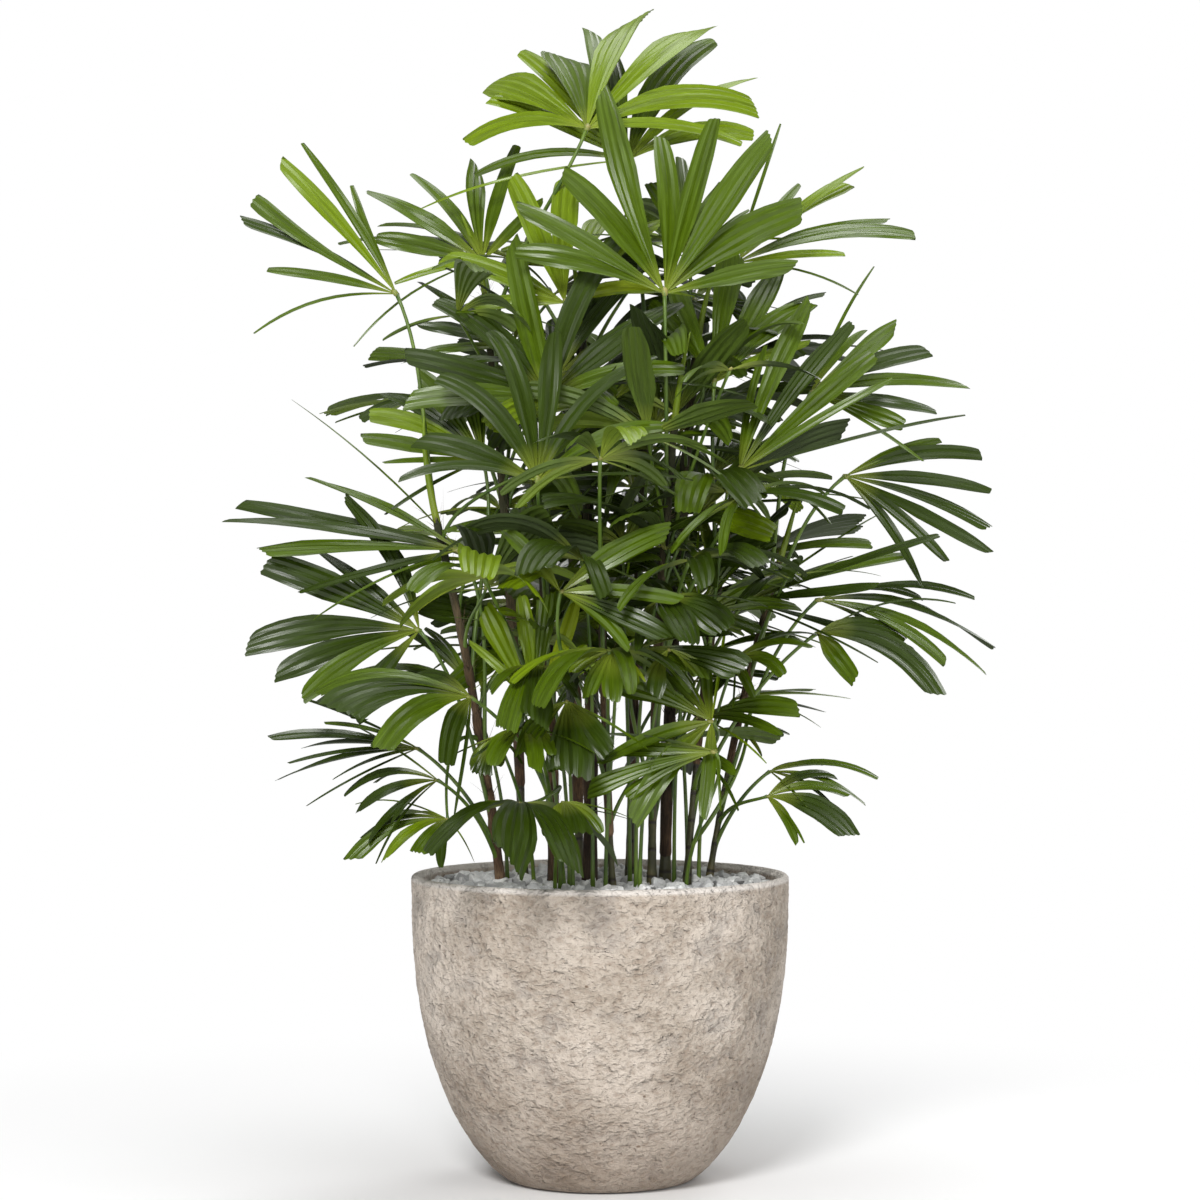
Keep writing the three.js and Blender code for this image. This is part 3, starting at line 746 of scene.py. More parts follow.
# %% Finish of the canes
bark, bark_shader = new_finish("ringed_cane", Roughness=0.55)
bark_ring = axis_of(bark, place_on_marks(bark), "Y")
bark_phase = add(bark, "Math", {0: bark_ring}, operation="FRACT").outputs[0]
bark_cloud = noise_of(bark, place_on_object(bark, (1, 1, 0.35)), 60, detail=4)
bark_colour = ramp(
    bark,
    bark_cloud,
    (0.28, (0.020, 0.018, 0.008)),
    (0.5, (0.055, 0.055, 0.016)),
    (0.72, (0.14, 0.11, 0.045)),
)
scar = ramp(bark, bark_phase, (0.0, 1), (0.05, 0.9), (0.11, 0), (0.93, 0), (1.0, 1))
bark_colour = mixed(bark, scar, bark_colour, (0.018, 0.012, 0.007))
wire(bark, bark_colour, bark_shader, "Base Color")
streaks = noise_of(bark, place_on_object(bark, (1, 1, 0.12)), 420, detail=3)
raise_by(bark, bark_shader, (streaks, 0.0006), (scar, -0.0006))
cane_nodes = [f"cane_{number:02d}" for number in range(1, len(CANES) + 1)]
keep(piece_of_heap("ringed_canes", canes), "cane", [bark], *cane_nodes)

# %% [markdown]
# ## The fibre sheaths
#
# Each frond's foot wraps the cane in a sheath that dries to a brown net of fibre. Its upper edge
# frays, and the next sheath grows out of it. A sheath is a short sleeve that widens to its mouth
# and turns in again, so it is a closed skin with a real edge. Noise drawn out along the cane
# ruffles it, and single loose fibres stand out of each mouth.

# %% Sheaths
SHEATH = {"height": 82, "step": 45, "proud": 0.7, "mouth": 1.9}
SHEATH_SIDES = 22
SHEATH_ROWS = 16
BARE = [0.0, 0.16, 0.0, 0.0, 0.22, 0.3, 0.05, 0.3, 0.34, 0.1, 0.2]  # share of a cane left bare
BARE_TIP = 50  # millimetres under a cane's tip where no sheath starts
MOUTH = 0.75  # the share of the form's rows that run up the outside; the rest run down inside

SHEATH_FORM = rod_form(SHEATH_SIDES, SHEATH_ROWS)


def ruffled(angle, waves, level):
    """Noise round a sleeve at a level of its own."""
    return noise.noise(Vector((waves * math.cos(angle), waves * math.sin(angle), level)))


def wrap_sheath(heap, cane, line, share, length, draw):
    """One sleeve round the cane from a share of its height upwards. Gives its mouth's points."""
    form = SHEATH_FORM
    span = SHEATH["height"] * (0.85 + 0.3 * draw()) / length
    turn_at, seed = math.tau * draw(), 40 * draw()
    row = form.points[:, 2]
    up = np.where(row < MOUTH, row / MOUTH, 1 - 0.3 * (row - MOUTH) / (1 - MOUTH))
    angle = np.arctan2(form.points[:, 1], form.points[:, 0])
    fray = np.array([ruffled(a, 3.2, seed) for a in angle])
    split = np.exp(-((np.angle(np.exp(1j * (angle - turn_at)))) / 0.35) ** 2)
    top = 1 + (0.16 * fray - 0.3 * split) * np.clip(up * 2 - 1, 0, 1)
    place = np.clip(share + span * up * top, 0.0, 1.0)
    ruffle = np.array([ruffled(a, 2.6, seed + 3 * u) for a, u in zip(angle, up)])
    wide = blend_between(SHEATH["proud"], SHEATH["mouth"] + 1.5 * split, np.clip(up, 0, 1) ** 2.2)
    inner = np.where(row < MOUTH, 0.0, 0.7 + 1.6 * (row - MOUTH) / (1 - MOUTH))
    radius = cane_radius(cane, place) + (wide - inner) + 0.55 * ruffle
    radius = np.where(row < 1e-6, cane_radius(cane, place) - 1.2, radius)
    order = np.argsort(place)
    firsts, seconds = frames_along(line, place[order])
    back = np.argsort(order)
    points = laid_round(line.at(place), radius, angle, firsts[back], seconds[back])
    heap.add(form, points, angle * cane[-1] * MM, place * length * MM + seed / 20)
    return points[np.abs(row - MOUTH) < 0.01]


# %% Loose fibres
FIBRE = rod_form(3, 6)
FIBRES = 9  # at each mouth
FIBRE_LENGTH = (14, 54)
FIBRE_ROOT = 4  # how far inside the mouth it starts


def loose_fibre(heap, start, way, length, draw):
    """A hair of fibre that leaves a mouth and curls over."""
    side = any_way(draw)
    middle = start + way * length * 0.5 + side * length * 0.15
    end = start + way * length + side * length * 0.35 - UP * length * 0.25 * draw()
    thick = 0.22 + 0.25 * draw()
    lay_rod(heap, FIBRE, Line(start, middle, end), lambda s, a: thick * (1.05 - s), 1, 1)


def wrap_canes(sheaths, fibres):
    for number, cane in enumerate(CANES):
        draw = random_from(SEEDS["sheath"] + number)
        line = cane_line(cane)
        length = line.length()
        share = BARE[number]
        while share * length < length - BARE_TIP:
            rim = wrap_sheath(sheaths, cane, line, share, length, draw)
            middle = rim.mean(axis=0)
            for _ in range(FIBRES):
                start = rim[int(draw() * len(rim))]
                out = unit(start - middle) * (0.3 + 0.5 * draw())
                out = unit(out + line.along(share) * (0.6 + draw()))
                long = blend_between(*FIBRE_LENGTH, draw() ** 2)
                loose_fibre(fibres, start - out * FIBRE_ROOT, out, long, draw)
            share += SHEATH["step"] * (0.8 + 0.4 * draw()) / length


sheaths, fibres = Heap(), Heap()
wrap_canes(sheaths, fibres)

# %% Finish of the fibre
fibre, fibre_shader = new_finish("brown_fibre", Roughness=0.92)
fibre_at = place_on_marks(fibre)


def weave_of(lean):
    """Threads that run up the sheath at a lean."""
    inputs = {"Vector": fibre_at, "Rotation": (0, 0, lean), "Scale": (1, 0.08, 1)}
    return noise_of(fibre, add(fibre, "Mapping", inputs).outputs[0], 900, detail=2)


weave = add(fibre, "Math", {0: weave_of(0.5), 1: weave_of(-0.5)}, operation="MAXIMUM").outputs[0]
fibre_cloud = noise_of(fibre, place_on_object(fibre, (1, 1, 0.6)), 45, detail=3)
fibre_colour = ramp(
    fibre,
    fibre_cloud,
    (0.3, (0.030, 0.016, 0.008)),
    (0.5, (0.145, 0.080, 0.040)),
    (0.7, (0.30, 0.19, 0.105)),
)
fibre_age = noise_of(fibre, place_on_object(fibre, (1, 1, 0.08)), 18, detail=1)
FIBRE_LAYERS = [
    (fibre_age, (0.42, 0.8), (0.56, 0), (0.020, 0.014, 0.009)),
    (weave, (0.42, 0.75), (0.62, 0), (0.014, 0.008, 0.005)),
]
fibre_colour = layered(fibre, fibre_colour, *FIBRE_LAYERS)
fibre_height = axis_of(fibre, place_on_object(fibre), "Z")
fresh_share = ranged(fibre, fibre_height, (0.48, 0.72), (0.0, 0.8))
fibre_colour = mixed(fibre, fresh_share, fibre_colour, (0.022, 0.030, 0.008))
wire(fibre, fibre_colour, fibre_shader, "Base Color")
raise_by(fibre, fibre_shader, (weave, 0.0012))
keep(piece_of_heap("fibre_sheaths", sheaths), "cane", [fibre], *cane_nodes)

HAIR = [(0.3, (0.04, 0.022, 0.011)), (0.7, (0.2, 0.13, 0.07))]
hair = mottled("loose_fibre", 0.8, 90, *HAIR)[0]
keep(piece_of_heap("loose_fibres", fibres), "cane", [hair], *cane_nodes)

# %% [markdown]
# ## Where the fronds are
#
# A frond has a stalk that leaves its cane steeply and bows out to a **hub**, and a fan of
# leaflets round that hub. These are the CAD source's own rows and rules, in the same units:
# the cane it grows from, the hub, where the fan heads, how far it turns to the front, and its
# leaflets' number, spread, length, width and droop.

# %% The fronds one by one
COLUMNS = ["cane", "hub", "aim", "rise", "face", "leaflets", "spread", "length", "width", "droop"]
FRONDS = [
    # the crown's top
    [2, [-15, -20, 1190], 74, 50, 20, 7, 135, 242, 46, 0.6],
    [5, [32, 20, 1160], 102, 60, 65, 7, 130, 250, 31, 0.55],
    [6, [71, -130, 993], 92, 72, 70, 9, 135, 230, 34, 0.3],
    [7, [105, 60, 1050], 90, 60, 70, 5, 80, 140, 20, 0.2],
    [2, [-135, 30, 1046], 150, 55, 60, 7, 140, 165, 22, 0.3],
    [1, [-230, -20, 1003], 180, 42, 62, 6, 56, 208, 20, 0.1],
    [3, [-39, -60, 989], 110, 70, 75, 6, 140, 155, 36, 0.5],
    [7, [155, 40, 1044], 5, 32, 40, 6, 62, 208, 28, 0.35],
    # left side, downwards
    [2, [-100, 20, 946], 160, 45, 55, 6, 100, 130, 14, 0.2],
    [3, [-57, -130, 879], 110, 68, 76, 7, 150, 205, 36, 0.4],
    [1, [-134, 20, 817], 172, 45, 55, 7, 96, 150, 22, 0.35],
    [1, [-158, -40, 713], 180, 11, 45, 5, 46, 268, 28, 0.25],
    [1, [-202, -60, 623], 182, 17, 60, 8, 126, 188, 27, 0.35],
    [3, [-125, -200, 681], 250, 22, 0, 6, 180, 155, 36, 1.1],
    [3, [-141, -150, 551], 202, 5, 35, 5, 115, 165, 42, 0.8],
    [1, [-205, -40, 490], 182, 4, 30, 6, 60, 150, 12, 0.4],
    [1, [-180, -90, 457], 195, 0, 40, 5, 80, 115, 28, 0.9],
    [1, [-168, -110, 415], 215, 5, 25, 6, 120, 112, 30, 1.0],
    # the middle, towards the front
    [3, [-67, -225, 784], 100, 72, 72, 8, 140, 195, 26, 0.6],
    [3, [-71, -180, 543], 90, 78, 80, 6, 80, 128, 24, 0.1],
    [3, [-86, -185, 437], 262, 12, 10, 5, 145, 165, 46, 1.35],
    [11, [10, -215, 603], 275, 10, 15, 7, 230, 130, 26, 1.1],
    [6, [43, -170, 604], 350, 10, 30, 4, 90, 118, 42, 0.4],
    [11, [-42, -240, 665], 20, 35, 45, 7, 170, 140, 26, 0.5],
    [11, [0, -260, 805], 275, 35, 20, 8, 200, 130, 22, 1.0],
    [6, [97, -190, 700], 300, 15, 15, 7, 200, 160, 26, 0.8],
    [6, [153, -200, 767], 300, 12, 30, 7, 250, 155, 22, 0.8],
    [5, [63, 20, 855], 60, 50, 40, 7, 160, 150, 24, 0.5],
    [8, [121, -170, 525], 180, 5, 60, 6, 170, 150, 30, 0.3],
    # right side, downwards
    [8, [128, -60, 900], 64, 60, 70, 6, 95, 168, 30, 0.2],
    [8, [152, -150, 798], 20, 55, 65, 5, 50, 245, 24, 0.2],
    [9, [239, -20, 892], 0, 18, 60, 6, 84, 162, 28, 0.3],
    [9, [277, -20, 797], 0, -9, 70, 7, 86, 200, 21, 0.35],
    [7, [165, -20, 655], 0, 9, 35, 5, 50, 225, 24, 0.2],
    [9, [245, -30, 657], 0, 1, 40, 6, 56, 195, 23, 0.7],
    [8, [243, -60, 620], 334, 0, 45, 3, 68, 145, 36, 1.0],
    [8, [156, 60, 543], 8, 6, 14, 5, 96, 122, 14, 0.25],
    [9, [193, 0, 462], 0, 5, 20, 4, 80, 128, 16, 0.7],
    [9, [188, -40, 436], 342, 6, 35, 4, 90, 112, 22, 0.8],
    [8, [168, 20, 502], 0, 20, 30, 3, 120, 60, 9, 0.9],
]
# How each of them is coloured: deep, mid, fresh or yellowish green. The deep tint is partly
# painted shade on fronds that lie in shade, and the fresh and yellowish tints are partly painted
# light on fronds lit from above or from behind.
TINT_LETTERS = "ffmmmmfmddmmdfdddmdfdmdmmdmdmmmmddddmmmd"

# %% The fronds round the back
BACK_GROUPS = [  # cane, share of its height, aim
    (10, 0.84, 92),
    (10, 0.4, 105),
    (5, 0.78, 62),
    (5, 0.34, 55),
    (2, 0.62, 84),
    (4, 0.9, 105),
]
BACK = {"fronds": 3, "turn": 46, "climb": (46, 62), "stalk": (150, 200), "leaflets": 7, "seed": 7,
        "spread": (120, 170), "length": (165, 200), "width": (20, 30), "droop": (0.35, 0.8)}


def heading(aim, rise):
    """A unit vector. aim turns about Z from +X, rise lifts it."""
    aim, rise = math.radians(aim), math.radians(rise)
    level = math.cos(rise)
    return np.array([level * math.cos(aim), level * math.sin(aim), math.sin(rise)])


def with_frame(frond):
    """Adds the frond's own directions: its middle line, its upper side and across it."""
    axis = heading(frond["aim"], frond["rise"])
    face = math.radians(frond["face"])
    up = np.array([0.0, -math.sin(face), math.cos(face)])
    up = unit(up - axis * np.dot(up, axis))
    return {**frond, "axis": axis, "up": up, "side": np.cross(up, axis)}


def front_frond(index):
    frond = dict(zip(COLUMNS, FRONDS[index]))
    frond["hub"] = np.array(frond["hub"], dtype=float)
    name = f"frond_{index + 1:02d}"
    return with_frame({**frond, "seed": index, "node": name, "tint": TINT_LETTERS[index]})


def back_fronds(index):
    cane, share, aim = BACK_GROUPS[index]
    draw = random_from(BACK["seed"] + index)
    foot = cane_line(CANES[cane - 1]).at(share)
    group = []
    for number in range(BACK["fronds"]):
        frond_aim = aim + (number - (BACK["fronds"] - 1) / 2) * BACK["turn"]
        climb = blend_between(*BACK["climb"], draw())
        hub = foot + heading(frond_aim, climb) * blend_between(*BACK["stalk"], draw())
        frond = {"cane": cane, "share": share, "hub": hub, "aim": frond_aim}
        frond |= {"rise": 10 + 25 * draw(), "face": 0, "leaflets": BACK["leaflets"]}
        for name in ("spread", "length", "width", "droop"):
            frond[name] = blend_between(*BACK[name], draw())
        frond |= {"seed": SEEDS["back"] + 10 * index + number, "node": f"back_fronds_{index + 1}"}
        group.append(with_frame({**frond, "tint": "dmm"[number]}))
    return group


fronds = [front_frond(index) for index in range(len(FRONDS))]
fronds += [frond for index in range(len(BACK_GROUPS)) for frond in back_fronds(index)]
print(len(fronds), "fronds in the CAD")

# %% [markdown]
# ## Finding what the CAD did
#
# Where a stalk or a leaflet would touch another piece, the CAD tries other ways in a fixed
# order, and leaves a leaflet out if none is clear. That test needs solids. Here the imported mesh
# is asked instead: of the ways that the rule allows, the one whose points are in the node's mesh
# is the one that was taken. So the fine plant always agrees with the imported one.

# %% Ways that the rule allows
STALK = {"foot": 2.6, "head": 1.9, "length": 270, "low_length": 0.85}
STALK |= {"lowest": 0.05, "highest": 0.97}  # shares of the cane's height that it may leave from
STALK |= {"with_cane": 1.2, "with_fan": 1.6, "first": 0.36, "second": 0.3}  # its bend
MISS = {"stalk": 0.3, "leaflet": 0.2}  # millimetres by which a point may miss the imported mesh
SHIFTS = [0, -0.04, 0.04, -0.08, 0.08, -0.12, 0.12, 0.16, 0.2]
BOWS = [0, 0.1, -0.1, 0.2, -0.2, 0.3, -0.3]
SWINGS = [0, 7, -7, 14, -14, 21, -21]
CUTS = [1, 0.75]


def usual_share(line, hub):
    """The share of the cane's height from which a stalk of the usual length reaches the hub."""
    reach = min(STALK["length"], STALK["low_length"] * (hub[2] - BED["top"]))
    best = share = STALK["lowest"]
    while share <= STALK["highest"]:
        at = line.at(share)
        if np.linalg.norm(at - hub) >= reach and at[2] < hub[2]:
            best = share
        share += 0.01
    return best


def stalk_line(frond, shift, bow):
    cane = cane_line(CANES[frond["cane"] - 1])
    share = frond.get("share")
    if share is None:
        share = min(max(frond["usual"] + shift, STALK["lowest"]), STALK["highest"])
    start, hub = cane.at(share), frond["hub"]
    length = np.linalg.norm(hub - start)
    along = unit(hub - start)
    leave = unit(cane.along(share) * STALK["with_cane"] + along)
    arrive = unit(along * STALK["with_fan"] + frond["axis"])
    side = unit(np.cross(along, UP)) * bow * length
    first = start + leave * length * STALK["first"] + side
    second = hub - arrive * length * STALK["second"] + side
    return Line(start, first, second, hub), share


def tree_of_points(points):
    tree = kdtree.KDTree(len(points))
    for number, point in enumerate(points):
        tree.insert(Vector(point), number)
    tree.balance()
    return tree


def tree_of_node(name):
    return tree_of_points([vert.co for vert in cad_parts[name].data.vertices])


def nearest(tree, point):
    return tree.find(Vector(point * MM))[2] / MM


def find_stalk(frond, tree):
    """The way whose rings of points lie at a stalk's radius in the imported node."""
    if "share" not in frond:
        frond["usual"] = usual_share(cane_line(CANES[frond["cane"] - 1]), frond["hub"])
    best = None
    for shift in SHIFTS:
        for bow in BOWS:
            line = stalk_line(frond, shift, bow)[0]
            misses = []
            for ring in (3, 4, 5):
                radius = blend_between(STALK["foot"], STALK["head"], ring / 6)
                misses.append(abs(nearest(tree, line.at(ring / 6)) - radius))
            if best is None or max(misses) < best[0]:
                best = (max(misses), line)
    return best


# %% The leaflets' sizes and their middle lines
LEAF_STEPS = 25
GIVE = {"angle": 0.25, "length": 0.15, "width": 0.38, "droop": 0.25, "lift": 0.12}


def leaflets_of(frond):
    """The fan's leaflets. Each gives way a little, to either side of the rule."""
    draw = random_from(frond["seed"] * SIZE_STREAM[0] + SIZE_STREAM[1])

    def give(name):
        return GIVE[name] * (2 * draw() - 1)

    last = frond["leaflets"] - 1
    step = math.radians(frond["spread"]) / last
    leaves = []
    for number in range(frond["leaflets"]):
        outward = abs(2 * number / last - 1)
        leaf = {"angle": (number - last / 2) * step + step * give("angle")}
        leaf["length"] = frond["length"] * (1 - 0.3 * outward ** 2) * (1 + give("length"))
        leaf["width"] = frond["width"] * (1 - 0.5 * outward ** 2) * (1 + give("width"))
        leaf["droop"] = frond["droop"] * (1 + give("droop"))
        leaf["lift"] = give("lift")
        leaves.append(leaf)
    angles = [leaf["angle"] for leaf in leaves]
    gaps = [step, *(after - before for before, after in zip(angles, angles[1:])), step]
    for leaf, before, after in zip(leaves, gaps, gaps[1:]):
        leaf["room"] = min(before, after)
    return leaves


def fan_direction(frond, angle):
    return frond["axis"] * math.cos(angle) + frond["side"] * math.sin(angle)


def middle_line(frond, leaf, swing=0, cut=1):
    """The leaflet's points and directions at even steps from the hub, as gravity bends it."""
    tilt = leaf["lift"] + math.radians(swing)
    way = fan_direction(frond, leaf["angle"]) * math.cos(tilt) + frond["up"] * math.sin(tilt)
    share = np.arange(1, LEAF_STEPS + 1) / LEAF_STEPS
    runs = unit(way - UP * (leaf["droop"] * share ** 1.5)[:, None])
    points = frond["hub"] + np.cumsum(runs, axis=0) * leaf["length"] * cut / LEAF_STEPS
    return np.vstack([frond["hub"], points]), np.vstack([runs[0], runs])


def find_leaflet(frond, leaf, tree):
    """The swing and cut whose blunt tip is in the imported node, or none."""
    across = fan_direction(frond, leaf["angle"] + math.pi / 2)
    thick = max(2, leaf["length"] * 0.011)
    for cut in CUTS:
        for swing in SWINGS:
            points, runs = middle_line(frond, leaf, swing, cut)
            right = unit(across - runs[-1] * np.dot(across, runs[-1]))
            keel = points[-1] - np.cross(runs[-1], right) * thick
            if nearest(tree, keel) < MISS["leaflet"]:
                return swing, cut
    return None


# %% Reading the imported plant
trees = {name: tree_of_node(name) for name in sorted({frond["node"] for frond in fronds})}
unsure = 0
for frond in fronds:
    tree = trees[frond["node"]]
    miss, frond["line"] = find_stalk(frond, tree)
    unsure += miss > MISS["stalk"]
    frond["leaves"] = leaflets_of(frond)
    for leaf in frond["leaves"]:
        found = find_leaflet(frond, leaf, tree)
        leaf["swing"], leaf["cut"] = found or (0, 1)
        leaf["grows"] = found is not None
packed = [leaf["grows"] for frond in fronds for leaf in frond["leaves"]]
print(sum(packed), "leaflets found,", packed.count(False), "left out,", unsure, "stalks unsure")

# %% [markdown]
# ## More of the same plant
#
# The CAD has as many fronds as its triangle count allows. The real crown is fuller than the
# CAD's, so the rule grows on: fans listed one by one that close the crown above, in front and
# behind, smaller fronds up the canes, turned by the golden angle from one to the next as palms
# do, young shoots that come up from the ground, and a folded spear at the tip of each cane. A
# leaflet whose middle would run into one that is there already, or reach out of the crown, isn't
# grown. Shoots push in closer than the rest, and may lean out.

# %% Inner fronds
CROWN_REACH = [  # height, and how far out the crown reaches there
    (380, 200), (500, 265), (700, 340), (850, 330), (1000, 300), (1130, 235), (1300, 140)
]
CROWN_LEAN = 28  # the crown's middle stands this far to the right of the pot's
CROWN_SLIM = 1.25  # its depth from front to back over its breadth
LOWEST_TIP = 356  # just above the pot's lip
ROOM = {"of_width": 0.3, "least": 2, "to_stalks": 0.6}
SHOOT_EASE = 0.45  # the share of the usual room that a shoot's leaflets need
INNER_STALK = (70, 165)
INNER_CLIMB = (35, 66)
INNER_SIZES = {"rise": (5, 50), "face": (0, 45), "leaflets": (5, 8), "spread": (110, 190),
               "length": (135, 205), "width": (24, 42), "droop": (0.3, 1.1)}
INNER_FROM = 430  # a cane has one inner frond for each step of its tip's height above this
INNER_STEP = 40
GOLDEN = 137.5


def inner_fronds():
    grown = []
    for number, cane in enumerate(CANES):
        draw = random_from(SEEDS["inner"] + number)
        line = cane_line(cane)
        count = round((cane[4] - INNER_FROM) / INNER_STEP)
        lowest = 0.45 if cane[0] > 60 else 0.22
        turn = 360 * draw()
        for level in range(count):
            share = blend_between(lowest, 0.98, (level + 0.5 * draw()) / count)
            aim = (turn + GOLDEN * level) % 360
            climb = blend_between(*INNER_CLIMB, draw())
            hub = line.at(share) + heading(aim, climb) * blend_between(*INNER_STALK, draw())
            frontward = math.sin(math.radians(aim)) < 0.3
            frond = {"cane": number + 1, "share": share, "hub": hub, "aim": aim}
            for name, span in INNER_SIZES.items():
                level_fan = name == "face" and not frontward
                frond[name] = 0 if level_fan else blend_between(*span, draw())
            frond["leaflets"] = int(frond["leaflets"])
            frond["seed"] = SEEDS["inner_leaf"] + 10 * number + level
            # Mostly deep: painted shade inside the crown.
            frond["tint"] = "dddmmf"[int(6 * draw())]
            frond = with_frame({**frond, "node": None})
            frond["line"] = stalk_line(frond, 0, 0.1 * (draw() - 0.5))[0]
            grown.append(frond)
    return grown


# %% Fans that close the crown above, in front and behind
CROWN_FANS = [  # cane; hub; aim, rise, face, leaflets, spread, length, width, droop, tint
    (2, [-100, 170, 1000], 112, 35, 0, 7, 150, 165, 26, 0.6, "m"),
    (5, [60, 205, 985], 82, 30, 0, 7, 160, 170, 26, 0.6, "m"),
    (7, [150, 140, 1000], 48, 35, 0, 6, 140, 150, 24, 0.6, "d"),
    (10, [-60, 245, 940], 104, 25, 0, 7, 160, 170, 26, 0.7, "m"),
    (4, [-20, 120, 1060], 96, 45, 0, 6, 140, 150, 24, 0.5, "f"),
    (5, [95, 120, 1075], 62, 45, 0, 6, 130, 140, 24, 0.5, "m"),
    (6, [140, -190, 905], 292, 25, 20, 6, 150, 140, 24, 0.9, "m"),
    (3, [-110, -185, 900], 245, 25, 20, 6, 150, 140, 24, 0.9, "m"),
    (6, [40, -230, 930], 270, 30, 20, 6, 160, 140, 24, 1.0, "d"),
    (10, [-70, 215, 620], 112, 10, 0, 6, 150, 150, 28, 0.9, "d"),
    (5, [90, 190, 570], 68, 5, 0, 6, 150, 150, 28, 0.9, "m"),
    (2, [-150, 150, 700], 132, 15, 0, 6, 140, 140, 26, 0.8, "m"),
    (9, [220, 120, 690], 42, 10, 0, 6, 140, 130, 24, 0.8, "d"),
]


def fan_of_row(hub, sizes, tint, seed):
    frond = dict(zip(COLUMNS[2:], sizes))
    frond |= {"hub": np.array(hub, dtype=float), "tint": tint, "node": None, "seed": seed}
    return with_frame(frond)


def crown_fans():
    grown = []
    for number, (cane, hub, *sizes, tint) in enumerate(CROWN_FANS):
        frond = fan_of_row(hub, sizes, tint, SEEDS["fan"] + number)
        frond["cane"] = cane
        frond["usual"] = usual_share(cane_line(CANES[cane - 1]), frond["hub"])
        frond["line"], frond["share"] = stalk_line(frond, 0, 0)
        grown.append(frond)
    return grown


# %% Shoots from the ground
SHOOTS = [  # foot x, y; hub; aim, rise, face, leaflets, spread, length, width, droop, tint
    ([84, -12], [112, -74, 640], 20, 40, 50, 6, 110, 120, 20, 0.5, "m"),
    ([100, 12], [86, 66, 700], 80, 40, 30, 6, 130, 130, 22, 0.6, "d"),
    ([-34, -66], [-60, -128, 610], 250, 30, 30, 6, 140, 110, 20, 0.8, "m"),
    ([-106, 22], [-152, 44, 560], 170, 30, 30, 6, 110, 120, 16, 0.5, "d"),
    ([34, 8], [26, -70, 720], 270, 40, 40, 6, 150, 120, 22, 0.8, "d"),
    ([58, 78], [112, 150, 560], 50, 30, 0, 6, 140, 130, 20, 0.7, "d"),
    ([-52, 72], [-112, 156, 600], 120, 30, 0, 6, 140, 130, 20, 0.7, "m"),
    ([112, -6], [150, -80, 590], 330, 25, 30, 5, 120, 110, 16, 0.8, "m"),
    ([-44, -84], [-66, -168, 585], 262, 0, 20, 4, 90, 130, 40, 1.3, "d"),
    ([-8, -104], [-20, -190, 700], 250, 25, 30, 5, 150, 140, 36, 1.1, "d"),
    ([40, -80], [62, -190, 655], 300, 0, 25, 4, 110, 120, 32, 1.2, "d"),
    ([-30, -104], [-36, -192, 548], 268, -45, 20, 3, 70, 105, 48, 0.8, "d"),
    ([6, -112], [14, -206, 604], 248, -40, 30, 4, 100, 78, 30, 0.8, "f"),
    ([44, -98], [74, -194, 604], 292, -40, 30, 3, 70, 76, 34, 1.0, "m"),
    ([96, -62], [124, -198, 494], 182, -6, 60, 3, 36, 146, 40, 0.25, "m"),
    ([-74, -48], [-112, -172, 510], 244, -35, 20, 3, 70, 64, 36, 1.0, "d"),
    ([-40, -76], [-80, -205, 520], 262, -20, 30, 4, 110, 90, 28, 0.9, "m"),
    ([-50, -96], [-40, -200, 440], 290, -10, 20, 3, 80, 80, 34, 1.0, "m"),
]


def ground_shoots():
    grown = []
    for number, (foot, hub, *sizes, tint) in enumerate(SHOOTS):
        frond = fan_of_row(hub, sizes, tint, SEEDS["shoot"] + number)
        start = np.array([*foot, BED["top"] - 6.0])
        rise = frond["hub"][2] - start[2]
        above = np.array([start[0], start[1], start[2] + rise * 0.5])
        below = frond["hub"] - frond["axis"] * rise * 0.12 - UP * rise * 0.2
        frond["line"] = Line(start, above, below, frond["hub"])
        grown.append(frond)
    return grown


# %% Growing only what has room
def middle_points(frond, leaf):
    return middle_line(frond, leaf, leaf["swing"], leaf["cut"])[0]


def in_crown(tip):
    reach = np.interp(tip[2], *zip(*CROWN_REACH))
    return math.hypot((tip[0] - CROWN_LEAN) * CROWN_SLIM, tip[1]) <= reach


def has_room(frond, leaf, crowd, stalks, is_shoot):
    """Shoots push in between the other leaflets, and may lean out of the crown."""
    points = middle_points(frond, leaf)
    if points[-1][2] < LOWEST_TIP or not (is_shoot or in_crown(points[-1])):
        return False
    ease = SHOOT_EASE if is_shoot else 1
    room = (ROOM["of_width"] * leaf["width"] + ROOM["least"]) * ease
    outer = points[7::3]
    if any(crowd.find(Vector(point))[2] < room for point in outer):
        return False
    return all(stalks.find(Vector(point))[2] > room * ROOM["to_stalks"] for point in outer)


def crowd_of(frond):
    """Points down the middles of the leaflets that grow, past the first few at the hub."""
    kept = [leaf for leaf in frond["leaves"] if leaf["grows"]]
    return [point for leaf in kept for point in middle_points(frond, leaf)[4::2]]


crowd_points = [point for frond in fronds for point in crowd_of(frond)]
stalk_points = [point for frond in fronds for point in frond["line"].at(np.linspace(0, 1, 30))]
stalk_points += [point for cane in CANES for point in cane_line(cane).at(np.linspace(0, 1, 60))]
stalk_tree = tree_of_points(stalk_points)

inner = []
for frond in crown_fans() + inner_fronds() + ground_shoots():
    is_shoot = "share" not in frond
    crowd = tree_of_points(crowd_points)
    frond["leaves"] = leaflets_of(frond)
    for leaf in frond["leaves"]:
        leaf |= {"swing": 0, "cut": 1}
        leaf["grows"] = has_room(frond, leaf, crowd, stalk_tree, is_shoot)
    fewest = 2 if is_shoot else 3
    if sum(leaf["grows"] for leaf in frond["leaves"]) >= fewest:
        inner.append(frond)
        crowd_points += crowd_of(frond)
grown = sum(leaf["grows"] for frond in inner for leaf in frond["leaves"])
print(len(inner), "inner fronds,", grown, "leaflets")

